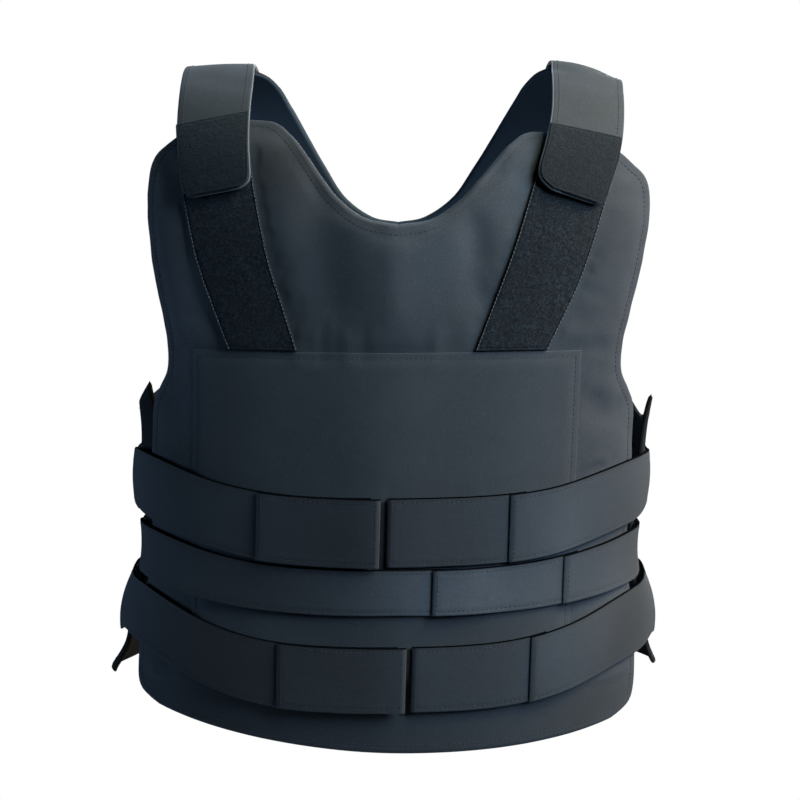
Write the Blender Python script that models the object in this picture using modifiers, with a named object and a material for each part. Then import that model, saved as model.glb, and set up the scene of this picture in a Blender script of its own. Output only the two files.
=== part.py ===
"""Stab vest for a worn fit: padded front and back panels, shoulder straps and three girdling bands.

Every piece is a flat pattern laid on one torso form. A place on the form has three numbers:
girth, the distance round the body from the middle of the front or back (wearer's left is plus);
drop, the distance down the form from the shoulder ridge; and lift, the height above the form.
Metres, +Z up, the front faces -Y, and the origin is on the shoulder ridge.
"""
import math
from collections import namedtuple

import bmesh
import bpy
import numpy as np

VEST = "stab_vest"
FRONT = -1
BACK = 1
WEARERS_RIGHT = -1
WEARERS_LEFT = 1

# Torso form: the inner face of the vest
SECTION_POWER = 2.3
SECTION_STEPS = 160
SHOULDER_ARCH = 0.140
RIDGE_DROP = SHOULDER_ARCH * math.pi / 2
FORM_COLUMNS = ("drop", "half_width", "front_depth", "back_depth")
FORM_ROWS = np.array((
    (0.000, 0.225, 0.112, 0.100),
    (0.120, 0.225, 0.114, 0.108),
    (0.220, 0.219, 0.118, 0.112),
    (0.330, 0.203, 0.119, 0.108),
    (0.400, 0.2010, 0.119, 0.104),
    (0.460, 0.1948, 0.119, 0.103),
    (0.530, 0.209, 0.121, 0.104),
    (0.600, 0.213, 0.122, 0.107),
))
# The vest hangs a little to the wearer's right, and its left shoulder falls away more than its right
LEAN_PER_DROP = 0.0275
SHOULDER_FADE = 0.140
FALL_PLACES = (0.085, 0.110, 0.140, 0.170)
SHOULDER_FALL = {
    WEARERS_RIGHT: (0.006, 0.007, 0.0065, 0.009),
    WEARERS_LEFT: (0.003, 0.003, 0.007, 0.021),
}

# Walls and clearances
LAYER_GAP = 0.0006
PANEL_WALL = 0.011
PANEL_TOP_WALL = 0.007
PANEL_TOP_SPAN = (0.120, 0.150)
PANEL_RIM = 0.0028
BACK_WALL = 0.009
BACK_RIM = 0.0010
SHOULDER_WALL = 0.004
SHOULDER_SPAN = (0.020, 0.120)
WING_WALL = 0.004
WING_SPAN = (0.195, 0.240)
RIM_ANGLE = math.radians(50)
OVERLAY_WALL = 0.0015
STRIP_WALL = 0.0018
STRAP_WALL = 0.0035
PATCH_WALL = 0.0012
BAND_WALL = 0.0018
TAB_WALL = 0.0020

# Front panel, half: the inner end of each row is on the neck edge or the middle, the outer end on the side
ROW_COLUMNS = ("inner_girth", "inner_drop", "outer_girth", "outer_drop")
FRONT_YOKE_ROWS = (
    (0.0965, 0.1238, 0.140, 0.122),
    (0.089, 0.1275, 0.150, 0.128),
    (0.083, 0.1335, 0.162, 0.136),
    (0.077, 0.1405, 0.176, 0.147),
    (0.067, 0.154, 0.187, 0.158),
    (0.056, 0.169, 0.192, 0.173),
    (0.043, 0.184, 0.193, 0.192),
    (0.024, 0.197, 0.191, 0.217),
    (0.000, 0.2015, 0.186, 0.243),
)
FRONT_BODY_ROWS = (
    (0.000, 0.2015, 0.186, 0.243),
    (0.000, 0.238, 0.180, 0.269),
    (0.000, 0.272, 0.1755, 0.290),
    (0.000, 0.300, 0.176, 0.310),
    (0.000, 0.322, 0.185, 0.326),
    (0.000, 0.345, 0.192, 0.342),
    (0.000, 0.390, 0.1935, 0.385),
    (0.000, 0.450, 0.196, 0.440),
    (0.000, 0.510, 0.201, 0.495),
    (0.000, 0.560, 0.204, 0.540),
    (0.000, 0.582, 0.203, 0.562),
    (0.000, 0.592, 0.197, 0.573),
    (0.000, 0.5995, 0.180, 0.581),
)
FRONT_HEM_BOW = 0.0045
# The front panel's shoulders and its hem both slope down to the wearer's left
SHOULDER_TILT = 0.055
SHOULDER_TILT_SPAN = (0.120, 0.230)
HEM_TILT = 0.036
HEM_TILT_SPAN = (0.520, 0.600)
# Dents in the padding of the chest, between the strips: the line that each follows, its width and its depth
DENT_COLUMNS = ("start_girth", "start_drop", "end_girth", "end_drop", "width", "depth")
CHEST_DENTS = (
    (-0.0575, 0.196, -0.0465, 0.256, 0.020, 0.0030),
    (0.0460, 0.205, 0.0500, 0.250, 0.014, 0.0020),
)

# Soft crest down the front, where the pack bends: girth of its line, width, height, and how it fades to the hem
CREST_GIRTH = -0.010
CREST_WIDTH = 0.045
CREST_HEIGHT = 0.004
CREST_HEM_SHARE = 0.4
CREST_FADE_SPAN = (0.400, 0.600)

# Back panel, half: as the front, down to the seam where the wing begins
BACK_YOKE_ROWS = (
    (0.117, 0.004, 0.168, 0.004),
    (0.1085, 0.030, 0.169, 0.035),
    (0.1005, 0.060, 0.171, 0.070),
    (0.0915, 0.094, 0.176, 0.110),
    (0.0785, 0.128, 0.183, 0.150),
    (0.0635, 0.158, 0.188, 0.185),
    (0.0465, 0.185, 0.189, 0.215),
    (0.023, 0.202, 0.186, 0.243),
    (0.000, 0.2065, 0.182, 0.268),
)
BACK_BODY_ROWS = (
    (0.000, 0.2065, 0.182, 0.268),
    (0.000, 0.250, 0.183, 0.292),
    (0.000, 0.290, 0.189, 0.316),
    (0.000, 0.325, 0.200, 0.337),
    (0.000, 0.385, 0.201, 0.384),
    (0.000, 0.450, 0.200, 0.445),
    (0.000, 0.515, 0.200, 0.507),
    (0.000, 0.562, 0.200, 0.550),
    (0.000, 0.592, 0.200, 0.570),
)
BACK_HEM_BOW = 0.006
BOW_POWER = 6
# Wings: they carry on from the seam round the flank; share runs from the wing's top edge to its hem
WING_FIRST_ROW = 3
WING_COLUMNS = ("share", "end_girth", "end_drop")
WING_ROWS = {
    WEARERS_RIGHT: np.array((
        (0.00, 0.314, 0.3235),
        (0.12, 0.317, 0.352),
        (0.40, 0.305, 0.425),
        (0.65, 0.286, 0.490),
        (0.85, 0.290, 0.536),
        (1.00, 0.300, 0.5635),
    )),
    WEARERS_LEFT: np.array((
        (0.00, 0.291, 0.336),
        (0.12, 0.292, 0.358),
        (0.40, 0.286, 0.425),
        (0.65, 0.279, 0.490),
        (0.85, 0.284, 0.534),
        (1.00, 0.294, 0.5580),
    )),
}
UNDERARM_SAG = {WEARERS_RIGHT: 0.017, WEARERS_LEFT: 0.023}
# The free corners of the wings curl away from the body; under its top corner the right one is drawn in
CURL_COLUMNS = ("drop", "right", "left")
CURL_ROWS = np.array((
    (0.330, 0.001, 0.007),
    (0.350, -0.001, 0.003),
    (0.375, -0.005, 0.000),
    (0.405, -0.001, 0.000),
    (0.430, 0.000, 0.000),
    (0.530, 0.000, 0.000),
    (0.545, 0.002, 0.002),
    (0.562, 0.0125, 0.0105),
))
CURL_SPAN = (0.240, 0.296)

# Overlay panel on the belly: the girth of its sides and the drop of its edges
OVERLAY_SIDES = {WEARERS_RIGHT: -0.150, WEARERS_LEFT: 0.138}
OVERLAY_TOP = 0.2935
OVERLAY_BOTTOM = 0.545

# Loop strips on the chest, that the shoulder straps fasten to
STRIP_ROWS = {
    WEARERS_RIGHT: (
        (0.109, 0.150, 0.1635, 0.150),
        (0.1045, 0.175, 0.1595, 0.179),
        (0.092, 0.227, 0.148, 0.225),
        (0.080, 0.263, 0.135, 0.260),
        (0.070, 0.2925, 0.1215, 0.2925),
    ),
    WEARERS_LEFT: (
        (0.102, 0.155, 0.160, 0.155),
        (0.0933, 0.185, 0.151, 0.188),
        (0.0845, 0.214, 0.142, 0.217),
        (0.0745, 0.244, 0.132, 0.246),
        (0.0575, 0.2925, 0.111, 0.2925),
    ),
}

# Shoulder straps: sewn to the back, over the ridge, down to a slanting rounded end on the chest
STRAP_ROWS = {
    WEARERS_RIGHT: (
        (0.112, -0.130, 0.168, -0.130),
        (0.1150, -0.070, 0.169, -0.070),
        (0.1170, 0.000, 0.170, 0.000),
        (0.1130, 0.060, 0.169, 0.060),
        (0.111, 0.117, 0.1665, 0.117),
        (0.109, 0.145, 0.1635, 0.146),
        (0.1065, 0.167, 0.1595, 0.171),
        (0.1075, 0.1735, 0.157, 0.1795),
        (0.113, 0.178, 0.150, 0.184),
    ),
    WEARERS_LEFT: (
        (0.114, -0.130, 0.170, -0.130),
        (0.115, -0.070, 0.171, -0.070),
        (0.116, 0.000, 0.1717, 0.000),
        (0.114, 0.060, 0.1693, 0.062),
        (0.111, 0.113, 0.166, 0.120),
        (0.105, 0.143, 0.1605, 0.152),
        (0.0995, 0.163, 0.153, 0.177),
        (0.101, 0.172, 0.150, 0.185),
        (0.109, 0.179, 0.142, 0.1885),
    ),
}
STRAP_LIFT_ROWS = np.array((
    (-0.130, BACK_WALL + LAYER_GAP),
    (-0.060, 0.0088),
    (0.000, 0.0056),
    (0.060, 0.0074),
    (0.118, 0.0112),
    (0.150, PANEL_WALL + STRIP_WALL + 2 * LAYER_GAP),
    (0.190, PANEL_WALL + STRIP_WALL + 2 * LAYER_GAP),
))
PATCH_ROWS = {
    WEARERS_RIGHT: (
        (0.1125, 0.1165, 0.1648, 0.1275),
        (0.1107, 0.1430, 0.1615, 0.1480),
        (0.1085, 0.1653, 0.1577, 0.1705),
        (0.1095, 0.1718, 0.1553, 0.1776),
        (0.1148, 0.1760, 0.1492, 0.1818),
    ),
    WEARERS_LEFT: (
        (0.1103, 0.1275, 0.1610, 0.1385),
        (0.1064, 0.1450, 0.1580, 0.1555),
        (0.1016, 0.1620, 0.1511, 0.1753),
        (0.1030, 0.1703, 0.1482, 0.1830),
        (0.1106, 0.1770, 0.1412, 0.1865),
    ),
}

# Bands: drop of the top edge at the middle of the front, width, how much higher the top and the bottom edge
# lie at each flank, how much the bottom edge is drawn up where it turns to the back, how much higher both lie
# at the back, how far the two edges stand off the wing at the flank and the band bulges between them, and the
# girth of its two ends
Band = namedtuple("Band", "top width right_rises left_rises tuck back_rise top_stand_off bottom_stand_off bulge "
                          "right_end left_end")
BANDS = {
    "upper_band": Band(0.401, 0.053, (0.0245, 0.0270), (0.0215, 0.0230), 0.009, 0.0150, 0.0004, 0.0044, 0.0011,
                       -0.014, 0.0863),
    "middle_band": Band(0.4555, 0.036, (0.0210, 0.0120), (0.0180, 0.0085), 0.000, 0.0110, 0.0008, 0.0006, 0.0002,
                        0.050, 0.129),
    "lower_band": Band(0.515, 0.0505, (0.0300, 0.0365), (0.0270, 0.0280), 0.0045, 0.0270, 0.0042, 0.0034, 0.0030,
                       0.008, 0.1058),
}
# Pull tabs at the band ends: their band, the girth of their two ends, and the layer that each end lies in
Tab = namedtuple("Tab", "band start end start_layer end_layer")
TABS = {
    "upper_tab_right": Tab("upper_band", -0.0970, -0.0072, 1, 1),
    "upper_tab_left": Tab("upper_band", -0.0024, 0.0985, 0, 0),
    "middle_tab": Tab("middle_band", 0.0320, 0.1410, 1, 0),
    "lower_tab_right": Tab("lower_band", -0.0800, 0.0146, 1, 1),
    "lower_tab_left": Tab("lower_band", 0.0186, 0.1180, 0, 0),
}
BAND_LEVEL_GIRTH = 0.205
BAND_TURN_GIRTH = 0.270
TUCK_GIRTH = 0.232
TUCK_WIDTH = 0.022
BAND_LIFT = PANEL_WALL + OVERLAY_WALL + 3 * LAYER_GAP
LAYER_STEP = TAB_WALL + LAYER_GAP
BAND_OVERLAP = 0.030
BAND_SETTLE = 0.040
FLANK_SPAN = (0.188, 0.243)
BACK_SPAN = (0.300, 0.345)
BAND_BRIDGE = 0.016
BAND_BACK_GAP = 0.0010
FLANK_LIFT = WING_WALL + LAYER_GAP

# Facets
YOKE_STEPS = 2
BODY_STEPS = 2
FRONT_FACETS = 12
BACK_FACETS = 8
WING_FACETS = 7
SIDE_CROWDING = 0.85
STRAP_STEPS = 4
STRAP_FACETS = 4
STRIP_STEPS = 3
OVERLAY_COLUMNS = 16
OVERLAY_ROWS = 9
OVERLAY_CROWDING = -0.40
BAND_FACETS = 26
BAND_FACETS_ACROSS = 3
BAND_CROWDING = 0.45
TAB_FACET = 0.016
WELD = 0.00005
NORMAL_REACH = 0.001

# Finishes: colour (linear), roughness
FINISHES = {
    "woven_nylon": ((0.022, 0.027, 0.033), 0.82),
    "nylon_band": ((0.024, 0.029, 0.036), 0.78),
    "nylon_strap": ((0.040, 0.046, 0.054), 0.80),
    "brushed_loop": ((0.010, 0.014, 0.019), 0.95),
}


def ease(value, start, end):
    """Zero before start, one after end and an S-curve between."""
    t = np.clip((np.asarray(value, float) - start) / (end - start), 0.0, 1.0)
    return t * t * (3.0 - 2.0 * t)


def curve_through(rows, column, places):
    """Cubic Hermite curve through one column, with the first column as its parameter."""
    x = rows[:, 0]
    y = rows[:, column]
    slope = np.gradient(y, x)
    at = np.clip(places, x[0], x[-1])
    low = np.clip(np.searchsorted(x, at, side="right") - 1, 0, len(x) - 2)
    span = x[low + 1] - x[low]
    t = (at - x[low]) / span
    return ((2 * t**3 - 3 * t**2 + 1) * y[low] + (t**3 - 2 * t**2 + t) * span * slope[low]
            + (3 * t**2 - 2 * t**3) * y[low + 1] + (t**3 - t**2) * span * slope[low + 1])


def section(drop, face):
    """A quarter of the form's section at each drop: widths, depths and distances from the middle."""
    angle = np.linspace(0.0, math.pi / 2, SECTION_STEPS + 1)
    half = curve_through(FORM_ROWS, FORM_COLUMNS.index("half_width"), drop)
    depth_column = "front_depth" if face == FRONT else "back_depth"
    depth = curve_through(FORM_ROWS, FORM_COLUMNS.index(depth_column), drop)
    depth = depth * np.sin(np.minimum(drop, RIDGE_DROP) / SHOULDER_ARCH)
    x = half[:, None] * np.sin(angle) ** (2 / SECTION_POWER)
    y = depth[:, None] * np.cos(angle) ** (2 / SECTION_POWER)
    steps = np.cumsum(np.hypot(np.diff(x), np.diff(y)), axis=1)
    return x, y, np.concatenate([np.zeros((len(x), 1)), steps], axis=1)


def quarter_girth(drop, face):
    """Girth from the middle of a face to the flank, at each drop."""
    return section(np.atleast_1d(np.asarray(drop, float)), face)[2][:, -1]


def read_section(table, distance):
    """Width and depth at a distance along each row of a section."""
    x, y, run = table
    rows = np.arange(len(distance))
    low = np.clip((run <= distance[:, None]).sum(axis=1) - 1, 0, run.shape[1] - 2)
    t = (distance - run[rows, low]) / (run[rows, low + 1] - run[rows, low])
    return (x[rows, low] * (1 - t) + x[rows, low + 1] * t,
            y[rows, low] * (1 - t) + y[rows, low + 1] * t)


def on_form(girth, drop, face):
    """Points of the form. Past the flank the girth runs on over the other face, as a negative drop does."""
    girth, drop = np.broadcast_arrays(np.asarray(girth, float), np.asarray(drop, float))
    shape = girth.shape
    run = np.abs(girth.ravel())
    hand = np.where(girth.ravel() < 0, WEARERS_RIGHT, WEARERS_LEFT)
    down = np.abs(drop.ravel())
    faces = np.where(drop.ravel() < 0, -face, face)
    points = np.empty((run.size, 3))
    for this in (FRONT, BACK):
        chosen = np.nonzero(faces == this)[0]
        if not len(chosen):
            continue
        near = section(down[chosen], this)
        far = section(down[chosen], -this)
        near_girth = near[2][:, -1]
        past = run[chosen] > near_girth
        x_near, y_near = read_section(near, run[chosen])
        x_far, y_far = read_section(far, near_girth + far[2][:, -1] - run[chosen])
        points[chosen, 0] = hand[chosen] * np.where(past, x_far, x_near)
        points[chosen, 1] = this * np.where(past, -y_far, y_near)
    arc = np.minimum(down, RIDGE_DROP)
    fall = np.where(hand == WEARERS_RIGHT,
                    np.interp(np.abs(points[:, 0]), FALL_PLACES, SHOULDER_FALL[WEARERS_RIGHT]),
                    np.interp(np.abs(points[:, 0]), FALL_PLACES, SHOULDER_FALL[WEARERS_LEFT]))
    fade = np.cos(math.pi / 2 * np.minimum(down / SHOULDER_FADE, 1.0)) ** 2
    points[:, 2] = SHOULDER_ARCH * (np.cos(arc / SHOULDER_ARCH) - 1) - (down - arc) - fall * fade
    points[:, 0] += LEAN_PER_DROP * points[:, 2]
    return points.reshape(shape + (3,))


def lay(girth, drop, face, lift):
    """Points at a lift above the form, along its own normal."""
    along = on_form(girth + NORMAL_REACH, drop, face) - on_form(girth - NORMAL_REACH, drop, face)
    down = on_form(girth, drop + NORMAL_REACH, face) - on_form(girth, drop - NORMAL_REACH, face)
    normal = np.cross(along, down) * face
    normal /= np.linalg.norm(normal, axis=-1, keepdims=True)
    return on_form(girth, drop, face) + normal * lift[..., None]


def refined(rows, steps):
    """Rows with others between them, on smooth curves through the columns."""
    numbered = np.column_stack([np.arange(len(rows)), np.array(rows)])
    places = np.linspace(0, len(rows) - 1, (len(rows) - 1) * steps + 1)
    return np.column_stack([curve_through(numbered, column + 1, places) for column in range(len(ROW_COLUMNS))])


def ruled(rows, fractions, bow=0.0):
    """Girth and drop of a grid between the inner and outer ends of each row; the last rows bow down."""
    end = {name: rows[:, column:column + 1] for column, name in enumerate(ROW_COLUMNS)}
    girth = end["inner_girth"] + (end["outer_girth"] - end["inner_girth"]) * fractions
    drop = end["inner_drop"] + (end["outer_drop"] - end["inner_drop"]) * fractions
    share = np.linspace(0.0, 1.0, len(rows))[:, None] ** BOW_POWER
    return girth, drop + bow * share * 4 * fractions * (1 - fractions)


def edge_fractions(count):
    """Fractions from the middle to the side, closer together at the side, where the body turns."""
    return np.linspace(0.0, 1.0, count + 1) ** SIDE_CROWDING


def crowded(count, crowding):
    """Fractions from end to end: plus crowds them in the middle, minus at the two ends."""
    even = np.linspace(0.0, 1.0, count + 1)
    return even + crowding * np.sin(2 * math.pi * even) / (2 * math.pi)


def panel_patches(yoke_rows, body_rows, columns, bow):
    """The four patches of a panel: two beside the neck and two below it."""
    fractions = edge_fractions(columns)
    patches = []
    for rows, steps, dip in ((yoke_rows, YOKE_STEPS, 0.0), (body_rows, BODY_STEPS, bow)):
        girth, drop = ruled(refined(rows, steps), fractions, dip)
        patches.append((girth, drop))
        patches.append((-girth[:, ::-1], drop[:, ::-1]))
    return patches


def front_patches():
    """The patches of the front panel, whose shoulders and hem slope."""
    patches = panel_patches(FRONT_YOKE_ROWS, FRONT_BODY_ROWS, FRONT_FACETS, FRONT_HEM_BOW)
    sloped = []
    for girth, drop in patches:
        slope = SHOULDER_TILT * (1 - ease(drop, *SHOULDER_TILT_SPAN)) + HEM_TILT * ease(drop, *HEM_TILT_SPAN)
        sloped.append((girth, drop + slope * girth))
    return sloped


def wing_patch(hand):
    """Girth and drop of one wing of the back panel, from its seam to its free edge."""
    seam = refined(BACK_BODY_ROWS, BODY_STEPS)[WING_FIRST_ROW * BODY_STEPS:]
    seam_girth = seam[:, ROW_COLUMNS.index("outer_girth")]
    seam_drop = seam[:, ROW_COLUMNS.index("outer_drop")]
    share = (seam_drop - seam_drop[0]) / (seam_drop[-1] - seam_drop[0])
    end_girth = curve_through(WING_ROWS[hand], WING_COLUMNS.index("end_girth"), share)
    end_drop = curve_through(WING_ROWS[hand], WING_COLUMNS.index("end_drop"), share)
    out = np.linspace(0.0, 1.0, WING_FACETS + 1)
    girth = seam_girth[:, None] + np.outer(end_girth - seam_girth, out)
    drop = seam_drop[:, None] + np.outer(end_drop - seam_drop, out)
    drop += UNDERARM_SAG[hand] * np.outer((1 - share) ** 3, 4 * out * (1 - out))
    if hand == WEARERS_RIGHT:
        return -girth[:, ::-1], drop[:, ::-1]
    return girth, drop


def crest(girth, drop):
    """Lift of the front panel and of all that lies on it: height * exp(-(distance to the crest / width)^2)."""
    height = CREST_HEIGHT * (1 - (1 - CREST_HEM_SHARE) * ease(drop, *CREST_FADE_SPAN))
    return height * np.exp(-((girth - CREST_GIRTH) / CREST_WIDTH) ** 2)


def sewn_lift(girth, drop):
    """Lift of what is sewn on the front panel."""
    return PANEL_WALL + LAYER_GAP + crest(girth, drop)


def chest_dents(girth, drop):
    """Depth of the chest's dents. Each is depth * exp(-(distance / width)^2), with the distance to its line."""
    depth = np.zeros(np.shape(girth))
    for start_girth, start_drop, end_girth, end_drop, width, deepest in CHEST_DENTS:
        way = (end_girth - start_girth, end_drop - start_drop)
        along = ((girth - start_girth) * way[0] + (drop - start_drop) * way[1]) / (way[0]**2 + way[1]**2)
        along = np.clip(along, 0.0, 1.0)
        away = np.hypot(girth - start_girth - along * way[0], drop - start_drop - along * way[1])
        depth = depth + deepest * np.exp(-(away / width) ** 2)
    return depth


def front_padding(girth, drop):
    """Wall of the front panel: thinner towards its shoulder edge and where the chest is dented."""
    padding = PANEL_TOP_WALL + (PANEL_WALL - PANEL_TOP_WALL) * ease(drop, *PANEL_TOP_SPAN)
    return padding - chest_dents(girth, drop)


def back_padding(girth, drop):
    """Wall of the back panel: padded in the middle, plain cloth at the shoulders and in the wings."""
    body = SHOULDER_WALL + (BACK_WALL - SHOULDER_WALL) * ease(drop, *SHOULDER_SPAN)
    return body + (WING_WALL - body) * ease(np.abs(girth), *WING_SPAN)


def wing_curl(girth, drop):
    """Lift of the back panel: nothing but at the free ends of its wings."""
    right = curve_through(CURL_ROWS, CURL_COLUMNS.index("right"), drop)
    left = curve_through(CURL_ROWS, CURL_COLUMNS.index("left"), drop)
    return np.where(girth > 0, left, right) * ease(np.abs(girth), *CURL_SPAN)


def strap_lift(girth, drop):
    """Lift of a shoulder strap along its drop."""
    return curve_through(STRAP_LIFT_ROWS, 1, drop)


def patch_lift(girth, drop):
    """Lift of the dark patch on a strap."""
    return strap_lift(girth, drop) + STRAP_WALL + LAYER_GAP


def whole_girth(drop):
    """Girth from the middle of the front, round the flank, to the middle of the back."""
    flat = drop.ravel()
    return (quarter_girth(flat, FRONT) + quarter_girth(flat, BACK)).reshape(drop.shape)


def around_lift(girth, drop):
    """Lift of whatever runs round the body: over the front panel, down to the wing and over the back panel."""
    distance = np.abs(girth)
    front = FLANK_LIFT + (BAND_LIFT - FLANK_LIFT) * (1 - ease(distance, *FLANK_SPAN)) + crest(girth, drop)
    back = back_padding(whole_girth(drop) - distance - BAND_BRIDGE, drop) + BAND_BACK_GAP
    return np.where(distance < FLANK_SPAN[1], front, back)


def band_rise(size, girth, across):
    """How much higher a band lies than at the middle of the front.

    At a share across the band, the rise grows to the flank's as sin squared of girth squared, and past the
    flank it eases to the back's. The tuck comes on top as exp(-((girth - tuck girth) / tuck width)^2).
    """
    tops = np.where(girth < 0, size.right_rises[0], size.left_rises[0])
    bottoms = np.where(girth < 0, size.right_rises[1], size.left_rises[1])
    flank = tops + (bottoms - tops) * across
    share = np.minimum(np.abs(girth) / BAND_LEVEL_GIRTH, 1.0) ** 2
    turned = ease(np.abs(girth), BAND_LEVEL_GIRTH, BAND_TURN_GIRTH)
    tuck = size.tuck * across * np.exp(-((np.abs(girth) - TUCK_GIRTH) / TUCK_WIDTH) ** 2)
    return flank * np.sin(math.pi / 2 * share) ** 2 + (size.back_rise - flank) * turned + tuck


def share_across(size, girth, drop):
    """Share across a band at a place on it: the drop less the top edge's, over the band's width there."""
    top = size.top - band_rise(size, girth, 0.0)
    bottom = size.top + size.width - band_rise(size, girth, 1.0)
    return (drop - top) / (bottom - top)


def band_lift(band):
    """Lift of a band: its left end rides up over the base of the tab, and its edges stand off the wings."""
    size = BANDS[band]
    climbed = size.left_end + BAND_OVERLAP

    def lift(girth, drop):
        distance = np.abs(girth)
        climb = (1 - ease(girth, climbed, climbed + BAND_SETTLE)) * (girth > size.left_end - WELD)
        across = share_across(size, girth, drop)
        stand_off = size.top_stand_off + (size.bottom_stand_off - size.top_stand_off) * across
        stand_off += size.bulge * 4 * across * (1 - across)
        at_flank = ease(distance, *FLANK_SPAN) * (1 - ease(distance, *BACK_SPAN))
        return around_lift(girth, drop) + LAYER_STEP * climb + stand_off * at_flank
    return lift


def tab_lift(tab):
    """Lift of a tab, from the layer of its first end down to that of its last."""
    first = TABS[tab].start_layer
    last = TABS[tab].end_layer
    settles = BANDS[TABS[tab].band].right_end + LAYER_GAP

    def lift(girth, drop):
        settle = ease(girth, settles, settles + BAND_SETTLE)
        return around_lift(girth, drop) + (first + (last - first) * settle) * LAYER_STEP
    return lift


def band_half(band, start, hand):
    """Girth and drop of a band from its end at the front, round one flank, to the middle of the back."""
    size = BANDS[band]
    across = np.linspace(0, 1, BAND_FACETS_ACROSS + 1)[:, None]
    level = size.top + size.width * across
    girth = start + (hand * whole_girth(level - size.back_rise) - start) * crowded(BAND_FACETS, BAND_CROWDING)
    drop = level - band_rise(size, girth, across)
    if hand == WEARERS_RIGHT:
        return girth[:, ::-1], drop[:, ::-1]
    return girth, drop


def tab_patch(tab):
    """Girth and drop of a tab, which lies along its band."""
    size = BANDS[TABS[tab].band]
    start = TABS[tab].start
    end = TABS[tab].end
    columns = np.linspace(start, end, math.ceil((end - start) / TAB_FACET) + 1)
    girth, across = np.meshgrid(columns, np.linspace(0, 1, BAND_FACETS_ACROSS + 1))
    return girth, size.top + size.width * across - band_rise(size, girth, across)


def strip_patch(rows, hand, steps, facets):
    """Girth and drop of a strap, strip or patch from its rows, on one shoulder."""
    girth, drop = ruled(refined(rows, steps), np.linspace(0, 1, facets + 1))
    if hand == WEARERS_RIGHT:
        return -girth[:, ::-1], drop[:, ::-1]
    return girth, drop


def cloth(name, finish, patches, face, lift, wall, rim=0.0):
    """One closed cloth solid: patches laid on the form, welded, thickened outwards and rounded at the rim.

    lift and wall are each a size, or a function of girth and drop.
    """
    corners = []
    faces = []
    walls = []
    for girth, drop in patches:
        here = lift(girth, drop) if callable(lift) else np.full(girth.shape, lift)
        corners.extend(map(tuple, lay(girth, drop, face, here).reshape(-1, 3)))
        walls.extend((wall(girth, drop) if callable(wall) else np.full(girth.shape, wall)).ravel())
        number = len(corners) - girth.size + np.arange(girth.size).reshape(girth.shape)
        quads = np.stack([number[:-1, :-1], number[:-1, 1:], number[1:, 1:], number[1:, :-1]], axis=-1)
        if face == FRONT:
            quads = quads[..., ::-1]
        faces.extend(map(tuple, quads.reshape(-1, 4).tolist()))
    mesh = bpy.data.meshes.new(name)
    mesh.from_pydata(corners, [], faces)
    piece = bpy.data.objects.new(name, mesh)
    bpy.data.collections[VEST].objects.link(piece)
    thickest = max(walls)
    group = piece.vertex_groups.new(name="Wall")
    for index, thickness in enumerate(walls):
        group.add([index], float(thickness / thickest), "REPLACE")
    welded = bmesh.new()
    welded.from_mesh(mesh)
    bmesh.ops.remove_doubles(welded, verts=welded.verts, dist=WELD)
    welded.to_mesh(mesh)
    welded.free()
    mesh.shade_smooth()
    mesh.materials.append(finish)
    solid = piece.modifiers.new("Wall", "SOLIDIFY")
    solid.thickness = float(thickest)
    solid.offset = 1.0
    solid.vertex_group = group.name
    if rim:
        rounding = piece.modifiers.new("Rounded rim", "BEVEL")
        rounding.width = rim
        rounding.segments = 1
        rounding.limit_method = "ANGLE"
        rounding.angle_limit = RIM_ANGLE
    return piece


def finish_material(name):
    """A cloth finish as a Principled material."""
    colour, roughness = FINISHES[name]
    material = bpy.data.materials.new(name)
    material.use_nodes = True
    shader = material.node_tree.nodes["Principled BSDF"]
    shader.inputs["Base Color"].default_value = (*colour, 1.0)
    shader.inputs["Roughness"].default_value = roughness
    shader.inputs["Metallic"].default_value = 0.0
    material.diffuse_color = (*colour, 1.0)
    return material


def build_panels(nylon):
    """The padded front panel, the back panel with its wings, and the overlay on the belly."""
    cloth("front_panel", nylon, front_patches(), FRONT, crest, front_padding, PANEL_RIM)
    back = panel_patches(BACK_YOKE_ROWS, BACK_BODY_ROWS, BACK_FACETS, BACK_HEM_BOW)
    wings = [wing_patch(WEARERS_RIGHT), wing_patch(WEARERS_LEFT)]
    cloth("back_panel", nylon, back + wings, BACK, wing_curl, back_padding, BACK_RIM)
    right = OVERLAY_SIDES[WEARERS_RIGHT]
    columns = right + (OVERLAY_SIDES[WEARERS_LEFT] - right) * crowded(OVERLAY_COLUMNS, OVERLAY_CROWDING)
    rows = np.linspace(OVERLAY_TOP, OVERLAY_BOTTOM, OVERLAY_ROWS + 1)
    girth, drop = np.meshgrid(columns, rows)
    cloth("front_overlay", nylon, [(girth, drop)], FRONT, sewn_lift, OVERLAY_WALL)


def build_shoulder(hand, side, nylon, brushed_loop):
    """One shoulder: the loop strip on the chest, the strap, and the dark patch at the strap's end."""
    strip = strip_patch(STRIP_ROWS[hand], hand, STRIP_STEPS, STRAP_FACETS)
    strap = strip_patch(STRAP_ROWS[hand], hand, STRAP_STEPS, STRAP_FACETS)
    patch = strip_patch(PATCH_ROWS[hand], hand, STRIP_STEPS, STRAP_FACETS)
    cloth(f"chest_strip_{side}", brushed_loop, [strip], FRONT, sewn_lift, STRIP_WALL)
    cloth(f"shoulder_strap_{side}", nylon, [strap], FRONT, strap_lift, STRAP_WALL)
    cloth(f"strap_patch_{side}", brushed_loop, [patch], FRONT, patch_lift, PATCH_WALL)


def build_bands(nylon_band):
    """The three bands round the body and the pull tabs at their ends."""
    for band, size in BANDS.items():
        halves = [band_half(band, size.right_end, WEARERS_RIGHT), band_half(band, size.left_end, WEARERS_LEFT)]
        cloth(band, nylon_band, halves, FRONT, band_lift(band), BAND_WALL)
    for tab in TABS:
        cloth(tab, nylon_band, [tab_patch(tab)], FRONT, tab_lift(tab), TAB_WALL)


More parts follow.
